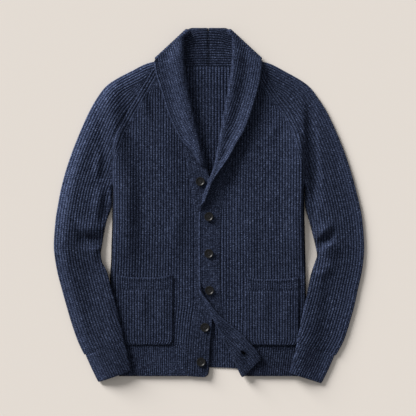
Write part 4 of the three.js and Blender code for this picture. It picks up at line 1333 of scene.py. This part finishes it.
class CARDIGAN_OT_fronts(bpy.types.Operator):
    """Make the two front panels and their welts"""

    bl_idname = "cardigan.fronts"
    bl_label = "Fronts"

    def execute(self, context):
        for name, half, area in (("right", RIGHT, 0.106), ("left", LEFT, 0.107)):
            heights = half.heights(NECK_SEAM_Y, WELT_TOP_Y)
            wall = front_panel(half, heights, rib_of("body", context), 6)
            wall = wall.refine().soften_ends().raise_by(half.swell)
            piece = cloth_piece(f"knit_front_{name}", wall, knit("body", context))
            dress(piece, f"front_{name}")
            heights = [WELT_TOP_Y - SEAM_GAP, -348, HEM_Y]
            wall = front_panel(half, heights, rib_of("fine", context), 0).refine().soften_ends()
            # Painted shade darkens the front's welt, more on the left half
            wall.shade(half.look.welt)
            piece = cloth_piece(f"knit_front_welt_{name}", wall, knit("fine", context))
            dress(piece, f"front_welt_{name}")
        return {"FINISHED"}


class CARDIGAN_OT_sleeves(bpy.types.Operator):
    """Make the two sleeves and their cuffs"""

    bl_idname = "cardigan.sleeves"
    bl_label = "Sleeves"

    def execute(self, context):
        sides = (
            ("right", RIGHT, RIGHT_SLEEVE, RIGHT_CUFF),
            ("left", LEFT, LEFT_SLEEVE, LEFT_CUFF),
        )
        for name, half, stations, cuff_stations in sides:
            rows = table(STATION_COLUMNS, stations)
            wall = sleeve(half, rows, rib_of("body", context), True).refine().soften_ends()
            wall.raise_by(half.soft_folds)
            piece = cloth_piece(f"knit_sleeve_{name}", wall, knit("body", context))
            dress(piece, f"sleeve_{name}")
            rows = table(STATION_COLUMNS, cuff_stations)
            wall = sleeve(half, rows, rib_of("fine", context), False).refine().soften_ends()
            # Painted shade darkens the cuff
            wall.shade(CUFF_PAINTED_SHADE)
            piece = cloth_piece(f"knit_cuff_{name}", wall, knit("fine", context))
            dress(piece, f"cuff_{name}")
        return {"FINISHED"}


class CARDIGAN_OT_collar(bpy.types.Operator):
    """Make the two halves of the collar and button band, with the buttonhole"""

    bl_idname = "cardigan.collar"
    bl_label = "Collar and Band"

    def execute(self, context):
        rib = rib_of("collar", context)
        for name, half, rows in (("right", RIGHT, RIGHT_STRIP), ("left", LEFT, LEFT_STRIP)):
            wall = strip(half, table(STRIP_COLUMNS, rows), rib).refine().soften_ends()
            # Painted shade along the collar's centre back seam
            wall.strength[0, :, 1] *= SEAM_PAINTED_SHADE
            # Painted shade round the buttonhole on the left band
            if half is LEFT:
                paint_buttonhole_shade(wall)
            piece = cloth_piece(f"knit_collar_band_{name}", wall, knit("collar", context))
            if half is LEFT:
                cut_buttonhole(piece)
            dress(piece, f"collar_band_{name}")
        return {"FINISHED"}


def paint_buttonhole_shade(wall):
    """Paints shade on the stitches round the slit."""
    angle = math.radians(BUTTONHOLE["angle"])
    dx = wall.outer[:, :, 0] - BUTTONHOLE["x"]
    dy = wall.outer[:, :, 1] - BUTTONHOLE["y"]
    run = (dx * math.cos(angle) + dy * math.sin(angle)) / (BUTTONHOLE["length"] * 0.62)
    across = (-dx * math.sin(angle) + dy * math.cos(angle)) / (BUTTONHOLE["width"] * 0.75)
    wall.strength[:, :, 1] *= 1 - 0.8 * np.exp(-((run ** 2 + across ** 2) ** 2))


def cut_buttonhole(piece):
    """Cuts the slit through the turned-back corner of the band."""
    hole = BUTTONHOLE
    middle = (hole["x"] * MM, hole["y"] * MM, 0.0182)
    bpy.ops.object.select_all(action="DESELECT")
    bpy.ops.mesh.primitive_cylinder_add(vertices=32, radius=0.5, depth=0.018, location=middle)
    cutter = bpy.context.object
    cutter.rotation_euler = (0, 0, math.radians(hole["angle"]))
    cutter.scale = (hole["length"] * MM, hole["width"] * MM, 1)
    bpy.ops.object.transform_apply(location=False, rotation=True, scale=True)
    select_only(piece)
    modifier = piece.modifiers.new("slit", "BOOLEAN")
    modifier.operation = "DIFFERENCE"
    modifier.object = cutter
    bpy.ops.object.modifier_apply(modifier=modifier.name)
    bpy.data.objects.remove(cutter)


class CARDIGAN_OT_pockets(bpy.types.Operator):
    """Make the two patch pockets and their welts"""

    bl_idname = "cardigan.pockets"
    bl_label = "Pockets"

    def execute(self, context):
        for name, half, row in (("right", RIGHT, RIGHT_POCKET), ("left", LEFT, LEFT_POCKET)):
            pocket = table(POCKET_COLUMNS, [row])[0]
            width = abs(pocket.outer - pocket.inner) * MM
            wall = pocket_body(half, pocket, rib_of("body", context)).refine()
            # Painted shade darkens the pocket
            wall = wall.soften_ends(0.8, 2.6).raise_by(half.swell).shade(POCKET_PAINTED_SHADE)
            piece = cloth_piece(f"knit_pocket_{name}", wall, knit("body", context))
            dress(piece, f"pocket_{name}")
            wall = pocket_welt(half, pocket, rib_of("fine", context)).refine(4)
            # Painted shade darkens the pocket's welt
            wall = wall.soften_ends(0.8, 2.2).raise_by(half.swell).shade(POCKET_PAINTED_SHADE)
            piece = cloth_piece(f"knit_pocket_welt_{name}", wall, knit("fine", context))
            dress(piece, f"pocket_welt_{name}")
        return {"FINISHED"}


class CARDIGAN_OT_buttons(bpy.types.Operator):
    """Make the six four-hole buttons and their sewing thread"""

    bl_idname = "cardigan.buttons"
    bl_label = "Buttons"

    def execute(self, context):
        sizes = context.scene.cardigan_sizes
        shade = tuple(context.scene.cardigan_colours.button)
        polished = plain_finish("polished_button", shade, 0.42, 260.0)
        polished.node_tree.nodes["Principled BSDF"].inputs["Specular IOR Level"].default_value = 0.35
        first = button_shape(sizes.button_radius, sizes.button_height)
        first.data.materials.append(polished)
        thread = plain_finish("sewing_thread", (0.012, 0.014, 0.022), 0.8, 900.0)
        for k, row in enumerate(table(BUTTON_COLUMNS, BUTTONS), 1):
            seat = FRONT_MID + HALF + 0.9 + row.layer * NEXT_LAYER + SEAM_GAP
            piece = copied(first, f"sewn_button_{k}", row, seat)
            dress(piece, f"button_{k}")
            stitch = thread_shape(f"button_thread_{k}", thread)
            settle(stitch, row, seat + sizes.button_height / MM - 1.4)
            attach(stitch, "root")
        bpy.data.objects.remove(first)
        return {"FINISHED"}


def button_shape(radius, height):
    """A disc with a raised rim, a dished middle and four holes."""
    bpy.ops.object.select_all(action="DESELECT")
    middle = (0, 0, height / 2)
    bpy.ops.mesh.primitive_cylinder_add(vertices=48, radius=radius, depth=height, location=middle)
    piece = bpy.context.object
    bpy.ops.object.transform_apply(location=True, rotation=True, scale=True)
    bpy.ops.object.mode_set(mode="EDIT")
    bpy.ops.mesh.select_mode(type="FACE")
    bpy.ops.mesh.select_all(action="DESELECT")
    bpy.ops.object.mode_set(mode="OBJECT")
    for face in piece.data.polygons:
        face.select = face.normal.z > 0.9
    bpy.ops.object.mode_set(mode="EDIT")
    bpy.ops.mesh.inset(thickness=radius * 0.16)
    bpy.ops.mesh.inset(thickness=radius * 0.2)
    bpy.ops.transform.translate(value=(0, 0, -height * 0.42))
    bpy.ops.mesh.inset(thickness=radius * 0.12)
    bpy.ops.transform.translate(value=(0, 0, height * 0.08))
    bpy.ops.object.mode_set(mode="OBJECT")
    for x, y in ((1, 1), (-1, 1), (-1, -1), (1, -1)):
        cut_thread_hole(piece, x * radius * 0.19, y * radius * 0.19, radius * 0.1, height)
    select_only(piece)
    bevel = piece.modifiers.new("soft_rim", "BEVEL")
    bevel.width = radius * 0.05
    bevel.segments = 3
    bevel.limit_method = "ANGLE"
    bevel.angle_limit = math.radians(35)
    bpy.ops.object.modifier_apply(modifier=bevel.name)
    bpy.ops.object.shade_smooth_by_angle(angle=math.radians(40))
    return piece


def cut_thread_hole(piece, x, y, radius, height):
    """Cuts one hole for the thread."""
    bpy.ops.object.select_all(action="DESELECT")
    middle = (x, y, height / 2)
    bpy.ops.mesh.primitive_cylinder_add(vertices=16, radius=radius, depth=height * 3, location=middle)
    cutter = bpy.context.object
    select_only(piece)
    modifier = piece.modifiers.new("hole", "BOOLEAN")
    modifier.operation = "DIFFERENCE"
    modifier.object = cutter
    bpy.ops.object.modifier_apply(modifier=modifier.name)
    bpy.data.objects.remove(cutter)


def copied(first, name, row, seat):
    """A button with its own mesh, on its seat."""
    piece = first.copy()
    piece.data = first.data.copy()
    piece.name = piece.data.name = name
    bpy.context.collection.objects.link(piece)
    settle(piece, row, seat)
    return piece


def settle(piece, row, seat):
    """Puts a piece's place and turn into its mesh."""
    piece.location = (row.x * MM, row.y * MM, seat * MM)
    piece.rotation_euler = (0, 0, math.radians(row.turn))
    select_only(piece)
    bpy.ops.object.transform_apply(location=True, rotation=True, scale=True)


def thread_shape(name, material):
    """Two short stitches across the four holes."""
    bars = []
    for y in (-0.0019, 0.0019):
        bpy.ops.object.select_all(action="DESELECT")
        bpy.ops.mesh.primitive_cylinder_add(
            vertices=10, radius=0.00045, depth=0.0046, location=(0, y, 0), rotation=(0, math.pi / 2, 0)
        )
        bar = bpy.context.object
        bpy.ops.object.transform_apply(location=True, rotation=True, scale=True)
        bars.append(bar)
    bpy.ops.object.select_all(action="DESELECT")
    for bar in bars:
        bar.select_set(True)
    bpy.context.view_layer.objects.active = bars[0]
    bpy.ops.object.join()
    piece = bars[0]
    bevel = piece.modifiers.new("round_ends", "BEVEL")
    bevel.width = 0.0002
    bevel.segments = 2
    bpy.ops.object.modifier_apply(modifier=bevel.name)
    piece.name = piece.data.name = name
    piece.data.materials.append(material)
    bpy.ops.object.shade_smooth_by_angle(angle=math.radians(40))
    return piece


class CARDIGAN_OT_stage(bpy.types.Operator):
    """Make the floor, the lights and the camera"""

    bl_idname = "cardigan.stage"
    bl_label = "Stage"

    def execute(self, context):
        bpy.ops.object.select_all(action="DESELECT")
        bpy.ops.mesh.primitive_plane_add(size=12, location=(0, 0, 0))
        floor = bpy.context.object
        floor.name = floor.data.name = "pale_floor"
        floor.data.materials.append(plain_finish("pale_paper", (0.79, 0.735, 0.675), 0.9, 6.0))
        sun_light("window_light", KEY_DIRECTION, KEY_WIDTH, KEY_STRENGTH, (1.0, 0.99, 0.985))
        sky = bpy.data.worlds.new("soft_studio")
        sky.use_nodes = True
        background = sky.node_tree.nodes["Background"]
        background.inputs["Color"].default_value = (1.0, 0.99, 0.98, 1)
        background.inputs["Strength"].default_value = SKY_STRENGTH
        context.scene.world = sky
        context.scene.view_settings.view_transform = "Standard"
        data = bpy.data.cameras.new("overhead_camera")
        data.sensor_width = 36
        data.lens = 36 * 3.0 / 0.936
        camera = bpy.data.objects.new("overhead_camera", data)
        camera.location = (-0.00225, -0.0056, 3.008)
        context.collection.objects.link(camera)
        context.scene.camera = camera
        return {"FINISHED"}


def sun_light(name, direction, width, strength, tint):
    """A far soft light that comes from a direction."""
    data = bpy.data.lights.new(name, "SUN")
    data.angle = math.radians(width)
    data.energy = strength
    data.color = tint
    lamp = bpy.data.objects.new(name, data)
    lamp.location = direction
    lamp.rotation_euler = (
        math.atan2(math.hypot(direction[0], direction[1]), direction[2]),
        0,
        math.atan2(direction[0], -direction[1]),
    )
    bpy.context.collection.objects.link(lamp)
    return lamp


STEPS = ("back", "fronts", "sleeves", "collar", "pockets", "buttons", "stage")


class CARDIGAN_PT_panel(bpy.types.Panel):
    """Sidebar panel with the sizes, the colours and a button for each piece"""

    bl_idname = "CARDIGAN_PT_panel"
    bl_label = "Shawl Collar Cardigan"
    bl_space_type = "VIEW_3D"
    bl_region_type = "UI"
    bl_category = "Cardigan"

    def draw(self, context):
        for group in (context.scene.cardigan_sizes, context.scene.cardigan_colours):
            for name in group.bl_rna.properties.keys():
                if name not in ("rna_type", "name"):
                    self.layout.prop(group, name)
        for step in STEPS:
            self.layout.operator(f"cardigan.{step}")


CLASSES = (
    CardiganSizes,
    CardiganColours,
    CARDIGAN_OT_back,
    CARDIGAN_OT_fronts,
    CARDIGAN_OT_sleeves,
    CARDIGAN_OT_collar,
    CARDIGAN_OT_pockets,
    CARDIGAN_OT_buttons,
    CARDIGAN_OT_stage,
    CARDIGAN_PT_panel,
)


def register():
    for item in CLASSES:
        bpy.utils.register_class(item)
    bpy.types.Scene.cardigan_sizes = bpy.props.PointerProperty(type=CardiganSizes)
    bpy.types.Scene.cardigan_colours = bpy.props.PointerProperty(type=CardiganColours)


def unregister():
    del bpy.types.Scene.cardigan_colours
    del bpy.types.Scene.cardigan_sizes
    for item in reversed(CLASSES):
        bpy.utils.unregister_class(item)


def main():
    register()
    for step in STEPS:
        getattr(bpy.ops.cardigan, step)()


if __name__ == "__main__":
    main()
